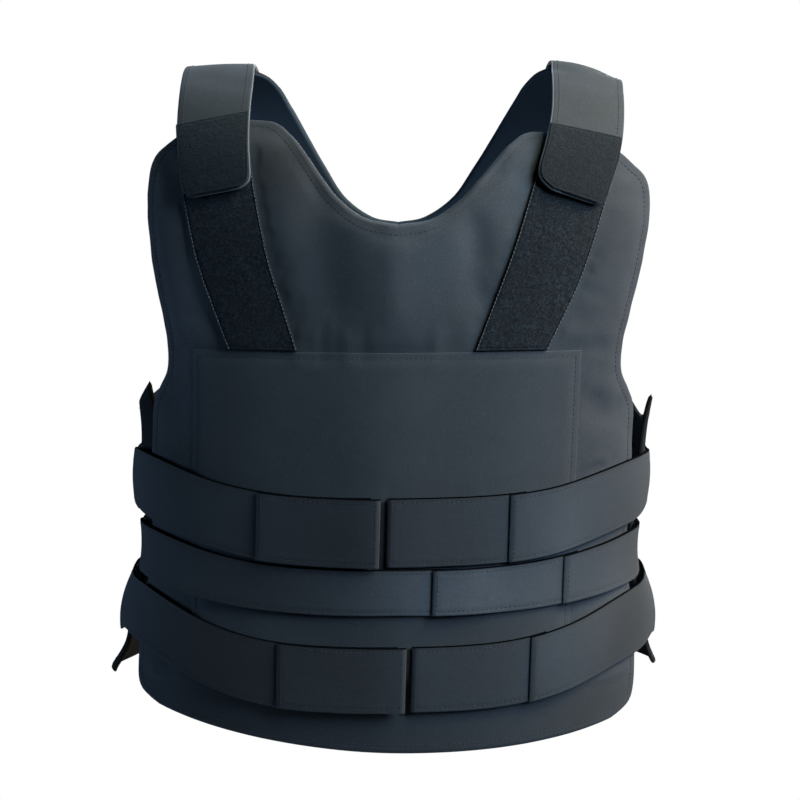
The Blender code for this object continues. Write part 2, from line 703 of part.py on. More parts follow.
def main():
    """Clear the scene and build the vest."""
    for leftover in list(bpy.data.objects):
        bpy.data.objects.remove(leftover, do_unlink=True)
    vest = bpy.data.collections.new(VEST)
    bpy.context.scene.collection.children.link(vest)
    finishes = {name: finish_material(name) for name in FINISHES}
    build_panels(finishes["woven_nylon"])
    build_shoulder(WEARERS_RIGHT, "right", finishes["nylon_strap"], finishes["brushed_loop"])
    build_shoulder(WEARERS_LEFT, "left", finishes["nylon_strap"], finishes["brushed_loop"])
    build_bands(finishes["nylon_band"])


main()
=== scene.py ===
"""Looks of the stab vest: woven nylon, padding, loop pile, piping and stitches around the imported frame.

Every cloth is a flat pattern laid on one torso form, as in the part's source. A place on the form has three
numbers: girth, the distance round the body from the middle of the front or back (wearer's left is plus);
drop, the distance down the form from the shoulder ridge; and lift, the height above the form.
Metres, +Z up, the front faces -Y, and the origin is on the shoulder ridge.
"""
from __future__ import annotations

import logging
import math
from dataclasses import dataclass, field, replace
from enum import IntEnum
from typing import Callable, Sequence

import bpy
import numpy as np
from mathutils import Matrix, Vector

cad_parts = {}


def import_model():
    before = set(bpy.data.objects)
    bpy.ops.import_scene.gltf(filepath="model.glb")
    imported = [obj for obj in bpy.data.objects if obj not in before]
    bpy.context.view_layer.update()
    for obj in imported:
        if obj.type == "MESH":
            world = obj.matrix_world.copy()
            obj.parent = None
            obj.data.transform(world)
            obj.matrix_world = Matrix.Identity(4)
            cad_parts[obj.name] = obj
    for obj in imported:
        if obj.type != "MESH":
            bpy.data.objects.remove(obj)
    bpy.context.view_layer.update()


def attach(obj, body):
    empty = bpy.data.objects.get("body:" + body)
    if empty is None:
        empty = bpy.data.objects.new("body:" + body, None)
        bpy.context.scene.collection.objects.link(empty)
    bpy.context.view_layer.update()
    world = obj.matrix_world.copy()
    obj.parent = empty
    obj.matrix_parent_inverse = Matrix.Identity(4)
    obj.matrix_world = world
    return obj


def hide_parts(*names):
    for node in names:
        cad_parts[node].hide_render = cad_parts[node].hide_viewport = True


LOG = logging.getLogger("vest")
BODY = "root"
MM = 0.001

Array = np.ndarray
Object = bpy.types.Object
Node = bpy.types.Node
Socket = bpy.types.NodeSocket
Tree = bpy.types.NodeTree
# A number at each place, by its girths and drops
Height = Callable[[Array, Array], Array]


class Face(IntEnum):
    """A face of the body, as the sign of its Y."""

    FRONT = -1
    BACK = 1


class Hand(IntEnum):
    """A side of the wearer, as the sign of its girth."""

    RIGHT = -1
    LEFT = 1


# Walls and clearances
LAYER_GAP = 0.0006
SEWN_GAP = 0.00015
PANEL_WALL = 0.011
OVERLAY_WALL = 0.0015
STRIP_WALL = 0.0018
STRAP_WALL = 0.0035
PATCH_WALL = 0.0012
BAND_WALL = 0.0018
TAB_WALL = 0.0020
WING_WALL = 0.004
BACK_WALL = 0.009
ON_STRIP = PANEL_WALL + STRIP_WALL + 2 * LAYER_GAP
BAND_LIFT = PANEL_WALL + OVERLAY_WALL + SEWN_GAP + LAYER_GAP
LAYER_STEP = TAB_WALL + 2 * SEWN_GAP
FLANK_LIFT = WING_WALL + LAYER_GAP
FLANK_SPAN = (0.188, 0.243)
BACK_SPAN = (0.300, 0.345)
# How far from a band's top edge shade is painted dark
EDGE_SHADE_SPAN = (0.4 * MM, 1.9 * MM)
PANEL_TOP_WALL = 0.007
PANEL_TOP_SPAN = (0.120, 0.150)
SHOULDER_SPAN = (0.020, 0.120)
WING_SPAN = (0.195, 0.240)
RELIEF_END = (0.330, 0.390)
WAVER_DEPTH = 0.35 * MM
THREAD_LIFT = 0.05 * MM

# Grid lines
RIM_LINES = 6
SEAM_LINES = np.array((-1.1, -0.5, 0.0, 0.5, 1.1)) * MM
OUTLINE_STEP = 0.0008
LEAST_STEP = 0.00005
WELD = 1e-6
# Points of an inset loop that lie nearer the cut edge than this share of the inset are left out
INSET_SHARE = 0.97
# Points whose distances are found at a time, to save memory
BATCH = 2048


def ease(value: Array, start: float, end: float) -> Array:
    """Zero before start, one after end and the S-curve 3t^2 - 2t^3 between."""
    t = np.clip((np.asarray(value, float) - start) / (end - start), 0.0, 1.0)
    return t * t * (3.0 - 2.0 * t)


def curve_through(table: Array, column: int, places: Array) -> Array:
    """Read one column of a table as a smooth curve of its first column.

    The curve is a cubic Hermite between neighbouring rows, with slopes from central differences.

    Args:
        table: rows with rising values in the first column.
        column: number of the column to read.
        places: where to read, held inside the table.

    Returns:
        The column's value at each place.
    """
    x = table[:, 0]
    y = table[:, column]
    slope = np.gradient(y, x)
    at = np.clip(places, x[0], x[-1])
    low = np.clip(np.searchsorted(x, at, side="right") - 1, 0, len(x) - 2)
    span = x[low + 1] - x[low]
    t = (at - x[low]) / span
    return ((2 * t**3 - 3 * t**2 + 1) * y[low] + (t**3 - 2 * t**2 + t) * span * slope[low]
            + (3 * t**2 - 2 * t**3) * y[low + 1] + (t**3 - t**2) * span * slope[low + 1])


def unit(vectors: Array) -> Array:
    """Vectors scaled to a length of one. A vector of no length stays as it is."""
    return vectors / np.maximum(np.linalg.norm(vectors, axis=-1, keepdims=True), 1e-12)


def run_along(path: Array) -> Array:
    """Distance along an open path to each of its points."""
    return np.concatenate([[0.0], np.cumsum(np.linalg.norm(np.diff(path, axis=0), axis=1))])


def quads_of(number: Array) -> Array:
    """The corner numbers of each cell in a grid of point numbers."""
    corners = (number[:-1, :-1], number[:-1, 1:], number[1:, 1:], number[1:, :-1])
    return np.stack(corners, axis=-1).reshape(-1, 4)


class Chart:
    """Values on an even grid of girth and drop, read with Catmull-Rom curves both ways."""

    def __init__(self, corner: tuple[float, float], step: float, values: Array) -> None:
        """Keep the grid.

        Args:
            corner: least girth and least drop.
            step: distance between grid lines.
            values: array of drops by girths by channels.
        """
        self.corner = corner
        self.step = step
        self.values = values

    @staticmethod
    def _weights(t: Array) -> Array:
        """Shares of the four neighbours: the Catmull-Rom basis at t between the middle two."""
        doubled = (-t + 2 * t**2 - t**3, 2 - 5 * t**2 + 3 * t**3, t + 4 * t**2 - 3 * t**3, t**3 - t**2)
        return np.stack(doubled) / 2

    def at(self, girth: Array, drop: Array) -> Array:
        """Value at each place: the sum over four by four neighbours of their weights times their values."""
        girth, drop = np.broadcast_arrays(np.asarray(girth, float), np.asarray(drop, float))
        shares = []
        lows = []
        for place, start, count in ((girth, self.corner[0], self.values.shape[1]),
                                    (drop, self.corner[1], self.values.shape[0])):
            steps = (place - start) / self.step
            low = np.clip(np.floor(steps).astype(int), 1, count - 3)
            lows.append(low)
            shares.append(self._weights(np.clip(steps - low, 0.0, 1.0)))
        total = np.zeros(girth.shape + self.values.shape[2:])
        for i in range(4):
            for j in range(4):
                share = (shares[1][i] * shares[0][j])[..., None]
                total += share * self.values[lows[1] + i - 1, lows[0] + j - 1]
        return total


@dataclass
class TorsoForm:
    """The body-shaped surface that the patterns are laid on, charted once as points and normals.

    A section is a quarter superellipse: x = half width * sin(a)^(2/p), y = depth * cos(a)^(2/p). The drop
    runs over a circular arch at the shoulder and then straight down.
    """

    power: float = 2.3
    steps: int = 640
    arch: float = 0.140
    lean_per_drop: float = 0.0275
    fade: float = 0.140
    step: float = 0.005
    girth_reach: float = 0.560
    drop_span: tuple[float, float] = (-0.170, 0.640)
    rows: Array = field(default_factory=lambda: np.array((
        # drop, half width, front depth, back depth
        (0.000, 0.225, 0.112, 0.100),
        (0.120, 0.225, 0.114, 0.108),
        (0.220, 0.219, 0.118, 0.112),
        (0.330, 0.203, 0.119, 0.108),
        (0.400, 0.2010, 0.119, 0.104),
        (0.460, 0.1948, 0.119, 0.103),
        (0.530, 0.209, 0.121, 0.104),
        (0.600, 0.213, 0.122, 0.107),
    )))
    fall_places: tuple[float, ...] = (0.085, 0.110, 0.140, 0.170)
    fall: dict[Hand, tuple[float, ...]] = field(default_factory=lambda: {
        Hand.RIGHT: (0.006, 0.007, 0.0065, 0.009),
        Hand.LEFT: (0.003, 0.003, 0.007, 0.021),
    })
    fall_softness: float = 0.014

    def __post_init__(self) -> None:
        """Chart both faces and keep the quarter girths."""
        self.girths = np.arange(-self.girth_reach, self.girth_reach + self.step / 2, self.step)
        self.drops = np.arange(self.drop_span[0], self.drop_span[1] + self.step / 2, self.step)
        self.rings = {face: self._rings(face) for face in Face}
        self.charts = {face: self._chart(face) for face in Face}

    def _rings(self, face: Face) -> tuple[Array, Array, Array]:
        """Quarter sections at every charted drop: widths, depths and distances from the middle."""
        angle = np.linspace(0.0, math.pi / 2, self.steps + 1)
        down = np.abs(self.drops)
        half = curve_through(self.rows, 1, down)
        depth = curve_through(self.rows, 2 if face == Face.FRONT else 3, down)
        depth = depth * np.sin(np.minimum(down / self.arch, math.pi / 2))
        x = half[:, None] * np.sin(angle) ** (2 / self.power)
        y = depth[:, None] * np.cos(angle) ** (2 / self.power)
        run = np.cumsum(np.hypot(np.diff(x), np.diff(y)), axis=1)
        return x, y, np.concatenate([np.zeros((len(x), 1)), run], axis=1)

    def _falls(self, x: Array) -> Array:
        """How far the shoulder falls away at each x, averaged over a short way so that it has no crease."""
        offsets = np.linspace(-self.fall_softness, self.fall_softness, 9)
        away = np.abs(x)[..., None] + offsets
        right = np.interp(away, self.fall_places, self.fall[Hand.RIGHT]).mean(axis=-1)
        left = np.interp(away, self.fall_places, self.fall[Hand.LEFT]).mean(axis=-1)
        return np.where(x < 0, right, left)

    def _chart(self, face: Face) -> Chart:
        """Points and unit normals of one face. A negative drop runs on over the other face."""
        points = np.empty((len(self.drops), len(self.girths), 3))
        run = np.abs(self.girths)
        for row, drop in enumerate(self.drops):
            here = face if drop >= 0 else -face
            near_x, near_y, near_run = (table[row] for table in self.rings[Face(here)])
            far_x, far_y, far_run = (table[row] for table in self.rings[Face(-here)])
            past = run > near_run[-1]
            left_over = near_run[-1] + far_run[-1] - run
            x = np.where(past, np.sign(left_over) * np.interp(np.abs(left_over), far_run, far_x),
                         np.interp(run, near_run, near_x))
            y = np.where(past, -np.interp(np.abs(left_over), far_run, far_y),
                         np.interp(run, near_run, near_y))
            points[row, :, 0] = np.where(self.girths < 0, -x, x)
            points[row, :, 1] = here * y
        down = np.abs(self.drops)[:, None]
        arc = np.minimum(down, self.arch * math.pi / 2)
        fade = np.cos(math.pi / 2 * np.minimum(down / self.fade, 1.0)) ** 2
        points[..., 2] = (self.arch * (np.cos(arc / self.arch) - 1) - (down - arc)
                          - self._falls(points[..., 0]) * fade)
        points[..., 0] += self.lean_per_drop * points[..., 2]
        down_way, along = np.gradient(points, axis=(0, 1))
        normals = unit(np.cross(along, down_way) * face)
        return Chart((self.girths[0], self.drops[0]), self.step, np.concatenate([points, normals], axis=-1))

    def lay(self, girth: Array, drop: Array, face: Face,
            lift: Array) -> tuple[Array, Array]:
        """Points at a lift above the form, and the form's unit normals there.

        Args:
            girth: distances round the body.
            drop: distances down the form.
            face: face that the girth is measured on.
            lift: heights above the form.

        Returns:
            Points, which are the form's point plus its normal times the lift, and the normals.
        """
        found = self.charts[face].at(girth, drop)
        normal = unit(found[..., 3:])
        return found[..., :3] + normal * np.asarray(lift)[..., None], normal

    def half_girth(self, drop: Array) -> Array:
        """Girth from the middle of the front, round the flank, to the middle of the back."""
        whole = self.rings[Face.FRONT][2][:, -1] + self.rings[Face.BACK][2][:, -1]
        return np.interp(drop, self.drops, whole)


class Unevenness:
    """Seeded value noise: random heights on a lattice, joined by S-curves, from -1 to 1."""

    def __init__(self, seed: int, cell: float) -> None:
        """Draw the lattice. Cell is the distance between its points."""
        self.cell = cell
        self.lattice = np.random.default_rng(seed).uniform(-1.0, 1.0, (256, 256))

    def at(self, x: Array, y: Array) -> Array:
        """Height at each place: the four corners of its cell, mixed by 3t^2 - 2t^3 both ways."""
        across = np.asarray(x) / self.cell + 64.0
        along = np.asarray(y) / self.cell + 64.0
        i = np.floor(across).astype(int)
        j = np.floor(along).astype(int)
        u = ease(across - i, 0.0, 1.0)
        v = ease(along - j, 0.0, 1.0)
        corner = [[self.lattice[(i + a) % 256, (j + b) % 256] for b in (0, 1)] for a in (0, 1)]
        return ((corner[0][0] * (1 - u) + corner[1][0] * u) * (1 - v)
                + (corner[0][1] * (1 - u) + corner[1][1] * u) * v)


@dataclass(frozen=True)
class Fold:
    """A soft ridge along a straight line on the flat pattern, or a valley if its height is negative."""

    start: tuple[float, float]
    end: tuple[float, float]
    width: float
    height: float

    def at(self, girth: Array, drop: Array) -> Array:
        """Height times exp(-(distance to the line / width)^2)."""
        start = np.array(self.start)
        way = np.array(self.end) - start
        along = np.clip(((girth - start[0]) * way[0] + (drop - start[1]) * way[1]) / (way @ way), 0.0, 1.0)
        away = np.hypot(girth - start[0] - along * way[0], drop - start[1] - along * way[1])
        return self.height * np.exp(-(away / self.width) ** 2)


def folded(folds: Sequence[Fold]) -> Height:
    """The sum of several folds, as one height."""
    def height(girth: Array, drop: Array) -> Array:
        """The folds' sum at a girth and a drop."""
        return sum(fold.at(girth, drop) for fold in folds)
    return height


@dataclass(frozen=True)
class Spot:
    """A patch of painted light on the cloth, or of painted shade if its gain is negative: its middle on the
    flat pattern, its reach along the girth and the drop, and its gain."""

    girth: float
    drop: float
    reach: tuple[float, float]
    gain: float

    def at(self, girth: Array, drop: Array) -> Array:
        """Gain times exp(-(girths away / reach)^2 - (drops away / reach)^2)."""
        return self.gain * np.exp(-((girth - self.girth) / self.reach[0]) ** 2
                                  - ((drop - self.drop) / self.reach[1]) ** 2)


def painted_light_and_shade(spots: Sequence[Spot]) -> Height:
    """How many times as light the painted light and shade of its spots make the cloth: e to the power of the
    sum of its spots.
    """
    def tone(girth: Array, drop: Array) -> Array:
        """Lightness at a girth and a drop."""
        return np.exp(sum((spot.at(girth, drop) for spot in spots), np.zeros(np.shape(girth))))
    return tone


@dataclass(frozen=True)
class Crest:
    """The soft crest down the front, where the pack bends: the girth of its line, its width and height, and
    the share of its height that is left once it has eased off towards the hem."""

    girth: float = -0.010
    width: float = 0.045
    height: float = 0.004
    hem_share: float = 0.4
    fade_span: tuple[float, float] = (0.400, 0.600)

    def at(self, girth: Array, drop: Array) -> Array:
        """Height, less towards the hem, times exp(-((girth - its girth) / width)^2)."""
        height = self.height * (1 - (1 - self.hem_share) * ease(drop, *self.fade_span))
        return height * np.exp(-((girth - self.girth) / self.width) ** 2)

    def sewn(self, girth: Array, drop: Array) -> Array:
        """Lift of what is sewn on the front panel."""
        return PANEL_WALL + SEWN_GAP + self.at(girth, drop)


FRONT_CREST = Crest()


@dataclass(frozen=True)
class Spacing:
    """Where a cloth's grid lines lie: their plain step, and the rounded rim and sewn seam from the edge."""

    step: float
    rim: float
    seam: float = 0.0

    def lines(self, length: float) -> Array:
        """Distances from 0 to length, close together at both ends to round the rim and sink the seam."""
        near = self.rim * (1 - np.cos(np.linspace(0.0, math.pi / 2, RIM_LINES)))
        if self.seam:
            near = np.append(near, self.seam + SEAM_LINES)
            near = near[np.diff(near, prepend=-1.0) > LEAST_STEP]
        near = near[near < length / 2 - self.step / 2]
        count = max(2, math.ceil((length - 2 * near[-1]) / self.step) + 1)
        middle = np.linspace(near[-1], length - near[-1], count)
        return np.concatenate([near[:-1], middle, (length - near[:-1])[::-1]])


def row_places(rows: Array, spacing: Spacing) -> Array:
    """Row numbers, with fractions, that lie at a spacing's lines along the middle of the rows."""
    numbers = np.linspace(0, len(rows) - 1, 40 * len(rows))
    ends = read_rows(rows, numbers)
    middle = (ends[:, :2] + ends[:, 2:]) / 2
    run = run_along(middle)
    return np.interp(spacing.lines(run[-1]), run, numbers)


def read_rows(rows: Array, places: Array) -> Array:
    """Rows read between their numbers, on a smooth curve through each column."""
    numbered = np.column_stack([np.arange(len(rows)), rows])
    return np.column_stack([curve_through(numbered, column + 1, places) for column in range(rows.shape[1])])


def ruled(rows: Array, places: Array, shares: Array, bow: float = 0.0) -> Array:
    """A grid of flat points between the inner and outer ends of each row.

    A point is inner + share * (outer - inner), and the last rows bow down by bow * place^6 * 4s(1 - s).

    Args:
        rows: inner girth, inner drop, outer girth and outer drop of each row.
        places: row numbers to read, with fractions.
        shares: shares of the way from the inner to the outer end.
        bow: how far the last row bows down in its middle.

    Returns:
        Array of places by shares by (girth, drop).
    """
    ends = read_rows(rows, places)
    flat = ends[:, None, :2] + (ends[:, None, 2:] - ends[:, None, :2]) * shares[None, :, None]
    depth = (places[:, None] / (len(rows) - 1)) ** 6
    flat[..., 1] += bow * depth * 4 * shares * (1 - shares)
    return flat


def mirrored(flat: Array, hand: Hand) -> Array:
    """The flat points on one hand of the body."""
    return flat * np.array((float(hand), 1.0))


def signed_area(loop: Array) -> float:
    """Area in a closed loop: half the sum of the cross products along it, negative if it runs clockwise."""
    x, y = loop.T
    return float((x * np.roll(y, -1) - np.roll(x, -1) * y).sum()) / 2


def perimeter(grid: Array) -> Array:
    """The cut edge of a four-sided grid, as a closed loop of flat points."""
    return np.concatenate([grid[0, :-1], grid[:-1, -1], grid[-1, :0:-1], grid[:0:-1, 0]])


class Pattern:
    """A cloth cut flat: grids of flat points, and the loop of its cut edge."""

    face: Face = Face.FRONT

    def __init__(self, grids: list[Array], edge: Array) -> None:
        """Keep the grids and the edge loop."""
        self.grids = grids
        self.edge = edge

    def on_torso(self, flat: Array) -> tuple[Array, Array]:
        """Girth and drop of flat points."""
        return flat[..., 0], flat[..., 1]

    def thin_edge(self) -> Array:
        """The edge loop without the points that crowd together."""
        step = np.linalg.norm(self.edge - np.roll(self.edge, 1, axis=0), axis=1)
        run = np.floor(np.cumsum(step) / OUTLINE_STEP)
        return self.edge[np.concatenate([[True], np.diff(run) > 0])]

    def edge_distance(self, flat: Array) -> Array:
        """Distance from each flat point to the cut edge: the least distance to any of its segments."""
        start = self.thin_edge()
        way = np.roll(start, -1, axis=0) - start
        square = np.maximum((way ** 2).sum(axis=1), 1e-18)
        points = flat.reshape(-1, 2)
        nearest = np.empty(len(points))
        for low in range(0, len(points), BATCH):
            part = points[low:low + BATCH, None] - start
            along = np.clip((part * way).sum(axis=-1) / square, 0.0, 1.0)
            nearest[low:low + BATCH] = np.linalg.norm(part - along[..., None] * way, axis=-1).min(axis=1)
        return nearest.reshape(flat.shape[:-1])

    def inset(self, distance: float) -> Array:
        """A loop of flat points at a distance inside the cut edge."""
        loop = self.thin_edge()
        way = unit(np.roll(loop, -1, axis=0) - np.roll(loop, 1, axis=0))
        inside = loop + np.sign(signed_area(loop)) * distance * np.column_stack([-way[:, 1], way[:, 0]])
        return inside[self.edge_distance(inside) > INSET_SHARE * distance]


class StripPattern(Pattern):
    """A strap, strip or patch, ruled between the ends of its rows."""

    def __init__(self, rows: Sequence[Sequence[float]], hand: Hand, spacing: Spacing) -> None:
        """Lay the grid lines along and across the rows, on one hand."""
        rows = np.array(rows)
        width = float(np.linalg.norm(rows[:, 2:] - rows[:, :2], axis=1)[:-2].mean())
        grid = mirrored(ruled(rows, row_places(rows, spacing), spacing.lines(width) / width), hand)
        super().__init__([grid], perimeter(grid))
        length = float(run_along(grid[:, grid.shape[1] // 2])[-1])
        self.cut = (abs(signed_area(self.edge)) / length, length)

    def long_sides(self, inset: float) -> list[Array]:
        """Two lines of flat points along the long sides, at a distance inside them."""
        grid = self.grids[0]
        across = grid[:, -1] - grid[:, 0]
        step = across * inset / np.linalg.norm(across, axis=1, keepdims=True)
        return [grid[:, 0] + step, grid[:, -1] - step]


class SheetPattern(Pattern):
    """A cloth whose sides run straight along the girth and the drop."""

    def __init__(self, girths: tuple[float, float], drops: tuple[float, float], spacing: Spacing) -> None:
        """Lay the grid lines between the sides."""
        across = girths[0] + spacing.lines(girths[1] - girths[0])
        down = drops[0] + spacing.lines(drops[1] - drops[0])
        grid = np.stack(np.meshgrid(across, down), axis=-1)
        super().__init__([grid], perimeter(grid))
        self.cut = (girths[1] - girths[0], drops[1] - drops[0])


@dataclass(frozen=True)
class BandSize:
    """A girdling band: drop of its top edge at the middle of the front, width, how much higher its top and
    its bottom edge lie at each flank, how much the bottom edge is drawn up where it turns to the back, how
    much higher both lie at the back, how far the two edges stand off the wing at the flank and the band
    bulges between them, and the girth of its two ends."""

    top: float
    width: float
    right_rises: tuple[float, float]
    left_rises: tuple[float, float]
    tuck: float
    back_rise: float
    top_stand_off: float
    bottom_stand_off: float
    bulge: float
    right_end: float
    left_end: float
    level_girth: float = 0.205
    turn_girth: float = 0.270
    tuck_girth: float = 0.232
    tuck_width: float = 0.022

    def rise(self, girth: Array, across: Array) -> Array:
        """How much higher the band lies than at the middle of the front, at a share across it.

        Up to the flank it is the flank's rise * sin^2(pi/2 * (girth / level girth)^2); past it, the rise
        eases to the back's. The tuck adds tuck * across * exp(-((girth - tuck girth) / tuck width)^2).
        """
        tops = np.where(girth < 0, self.right_rises[0], self.left_rises[0])
        bottoms = np.where(girth < 0, self.right_rises[1], self.left_rises[1])
        flank = tops + (bottoms - tops) * across
        share = np.minimum(np.abs(girth) / self.level_girth, 1.0) ** 2
        turned = ease(np.abs(girth), self.level_girth, self.turn_girth)
        tuck = self.tuck * across * np.exp(-((np.abs(girth) - self.tuck_girth) / self.tuck_width) ** 2)
        return flank * np.sin(math.pi / 2 * share) ** 2 + (self.back_rise - flank) * turned + tuck

    def across(self, girth: Array, drop: Array) -> Array:
        """Share of the way across the band: the drop less its top edge's, over its width there."""
        top = self.top - self.rise(girth, 0.0)
        bottom = self.top + self.width - self.rise(girth, 1.0)
        return (drop - top) / (bottom - top)

    def painted_edge_shade(self, girth: Array, drop: Array) -> Array:
        """One where shade is painted dark along its top edge, and nought elsewhere."""
        return 1 - ease(self.across(girth, drop) * self.width, *EDGE_SHADE_SPAN)

    def stand_off(self, girth: Array, drop: Array) -> Array:
        """How far it stands off the wing: its top's to its bottom's, plus bulge * 4s(1 - s), s across."""
        across = self.across(girth, drop)
        straight = self.top_stand_off + (self.bottom_stand_off - self.top_stand_off) * across
        return straight + self.bulge * 4 * across * (1 - across)


class BandPattern(Pattern):
    """A band cut flat: the run along it from its right end, round the back, to its left end, and the level
    down from its top edge."""

    def __init__(self, form: TorsoForm, size: BandSize, spacing: Spacing, waver: Unevenness) -> None:
        """Lay the grid lines along and across the band."""
        self.form = form
        self.size = size
        self.waver = waver
        half = float(form.half_girth(np.array(size.top + size.width / 2 - size.back_rise)))
        self.right_run = half + size.right_end
        self.whole_run = self.right_run + half - size.left_end
        grid = np.stack(np.meshgrid(spacing.lines(self.whole_run), spacing.lines(size.width)), axis=-1)
        super().__init__([grid], perimeter(grid))
        self.cut = (size.width, self.whole_run)

    def on_torso(self, flat: Array) -> tuple[Array, Array]:
        """Girth and drop: the run goes from the right end, past the middle of the back, to the left."""
        run, across = flat[..., 0], flat[..., 1]
        size = self.size
        half = self.form.half_girth(size.top + across - size.back_rise)
        right = size.right_end - (half + size.right_end) * np.minimum(run / self.right_run, 1.0)
        left = half + (size.left_end - half) * (run - self.right_run) / (self.whole_run - self.right_run)
        girth = np.where(run < self.right_run, right, left)
        rise = size.rise(girth, across / size.width)
        return girth, size.top + across - rise + self.waver.at(run, across * 0.0) * WAVER_DEPTH


class TabPattern(Pattern):
    """A pull tab, which lies along its band: girth, and the level down from the band's top edge."""

    def __init__(self, size: BandSize, start: float, end: float, spacing: Spacing) -> None:
        """Lay the grid lines between the tab's two ends."""
        self.size = size
        grid = np.stack(np.meshgrid(start + spacing.lines(end - start), spacing.lines(size.width)), axis=-1)
        super().__init__([grid], perimeter(grid))
        self.cut = (size.width, end - start)

    def on_torso(self, flat: Array) -> tuple[Array, Array]:
        """Girth and drop of flat points."""
        rise = self.size.rise(flat[..., 0], flat[..., 1] / self.size.width)
        return flat[..., 0], self.size.top + flat[..., 1] - rise


@dataclass(frozen=True)
class WingSize:
    """A wing of the back panel: share down its seam, and girth and drop of its free end there."""

    rows: tuple[tuple[float, float, float], ...]
    sag: float


class PanelPattern(Pattern):
    """A front or back panel: two yokes beside the neck, the body below it, and wings round the flanks."""

    wing_first_row = 3

    def __init__(self, face: Face, yoke: Array, body: Array, bow: float, spacing: Spacing,
                 slope: Callable[[Array], Array] | None = None,
                 wings: dict[Hand, WingSize] | None = None) -> None:
        """Lay the grid lines of every part, so that parts that meet share their lines.

        Args:
            face: face of the body that the panel covers.
            yoke: rows beside the neck, of the wearer's left half.
            body: rows below the neck.
            bow: how far the hem bows down.
            spacing: the grid lines.
            slope: drop gained for each metre of girth, as a function of drop.
            wings: sizes of the wings, if the panel has them.
        """
        self.face = face
        width = float(np.median(np.linalg.norm(body[:, 2:] - body[:, :2], axis=1)))
        shares = spacing.lines(width) / width
        yoke_places = row_places(yoke, spacing)
        body_places = row_places(body, spacing)
        grids: list[Array] = []
        halves: list[Array] = []
        if wings:
            first = self.wing_first_row
            body_places = np.unique(np.append(body_places, first))
            start = int(np.searchsorted(body_places, first))
        for hand in (Hand.LEFT, Hand.RIGHT):
            top = ruled(yoke, yoke_places, shares)
            low = ruled(body, body_places, shares, bow)
            border = [top[::-1, 0], top[0, 1:], top[1:, -1]]
            parts = [top, low]
            if wings:
                wing = self._wing(low[start:, -1], wings[hand], spacing)
                parts.append(wing)
                border += [low[1:start + 1, -1], wing[0, 1:], wing[1:, -1], wing[-1, -2::-1]]
            else:
                border += [low[1:, -1]]
            border += [low[-1, -2::-1]]
            grids += [self._sloped(mirrored(part, hand), slope) for part in parts]
            halves.append(self._sloped(mirrored(np.concatenate(border), hand), slope))
        super().__init__(grids, np.concatenate([halves[0], halves[1][-2:0:-1]]))

    @staticmethod
    def _sloped(flat: Array, slope: Callable[[Array], Array] | None) -> Array:
        """Flat points whose drop gains slope times girth."""
        if slope is None:
            return flat
        lowered = flat.copy()
        lowered[..., 1] += slope(flat[..., 1]) * flat[..., 0]
        return lowered

    @staticmethod
    def _wing(seam: Array, size: WingSize, spacing: Spacing) -> Array:
        """A wing's grid, ruled from the seam to its free end, sagging under the arm.

        A point's drop gains sag * (1 - share)^3 * 4s(1 - s), with s the share of the way out.
        """
        table = np.array(size.rows)
        share = (seam[:, 1] - seam[0, 1]) / (seam[-1, 1] - seam[0, 1])
        end = np.column_stack([curve_through(table, 1, share), curve_through(table, 2, share)])
        width = float(np.linalg.norm(end - seam, axis=1).mean())
        out = (spacing.lines(2 * width) / width)
        out = 1.0 - out[out <= 1.0 + 1e-9][::-1]
        out[0], out[-1] = 0.0, 1.0
        flat = seam[:, None] + (end - seam)[:, None] * out[None, :, None]
        flat[..., 1] += size.sag * np.outer((1 - share) ** 3, 4 * out * (1 - out))
        return flat


@dataclass(frozen=True)
class Hem:
    """A turned and sewn edge: width of the turned cloth, its rise, depth of the seam that holds it, and the
    share of the wall, from the inner face, where the two faces meet at the cut edge."""

    width: float = 0.0
    rise: float = 0.0
    seam: float = 0.0
    depth: float = 0.0
    seam_width: float = 0.0008
    meets: float = 0.5

    def at(self, away: Array) -> Array:
        """Height at a distance from the cut edge: a step at the hem's width and a groove at the seam."""
        step = self.rise * (1 - ease(away, self.width - MM, self.width)) if self.width else 0.0 * away
        return step - self.depth * np.exp(-((away - self.seam) / self.seam_width) ** 2)


PLAIN_EDGE = Hem()


def constant(value: float) -> Height:
    """A height that is the same everywhere."""
    def height(girth: Array, drop: Array) -> Array:
        """The one value at each place."""
        return np.full(np.shape(girth), value)
    return height


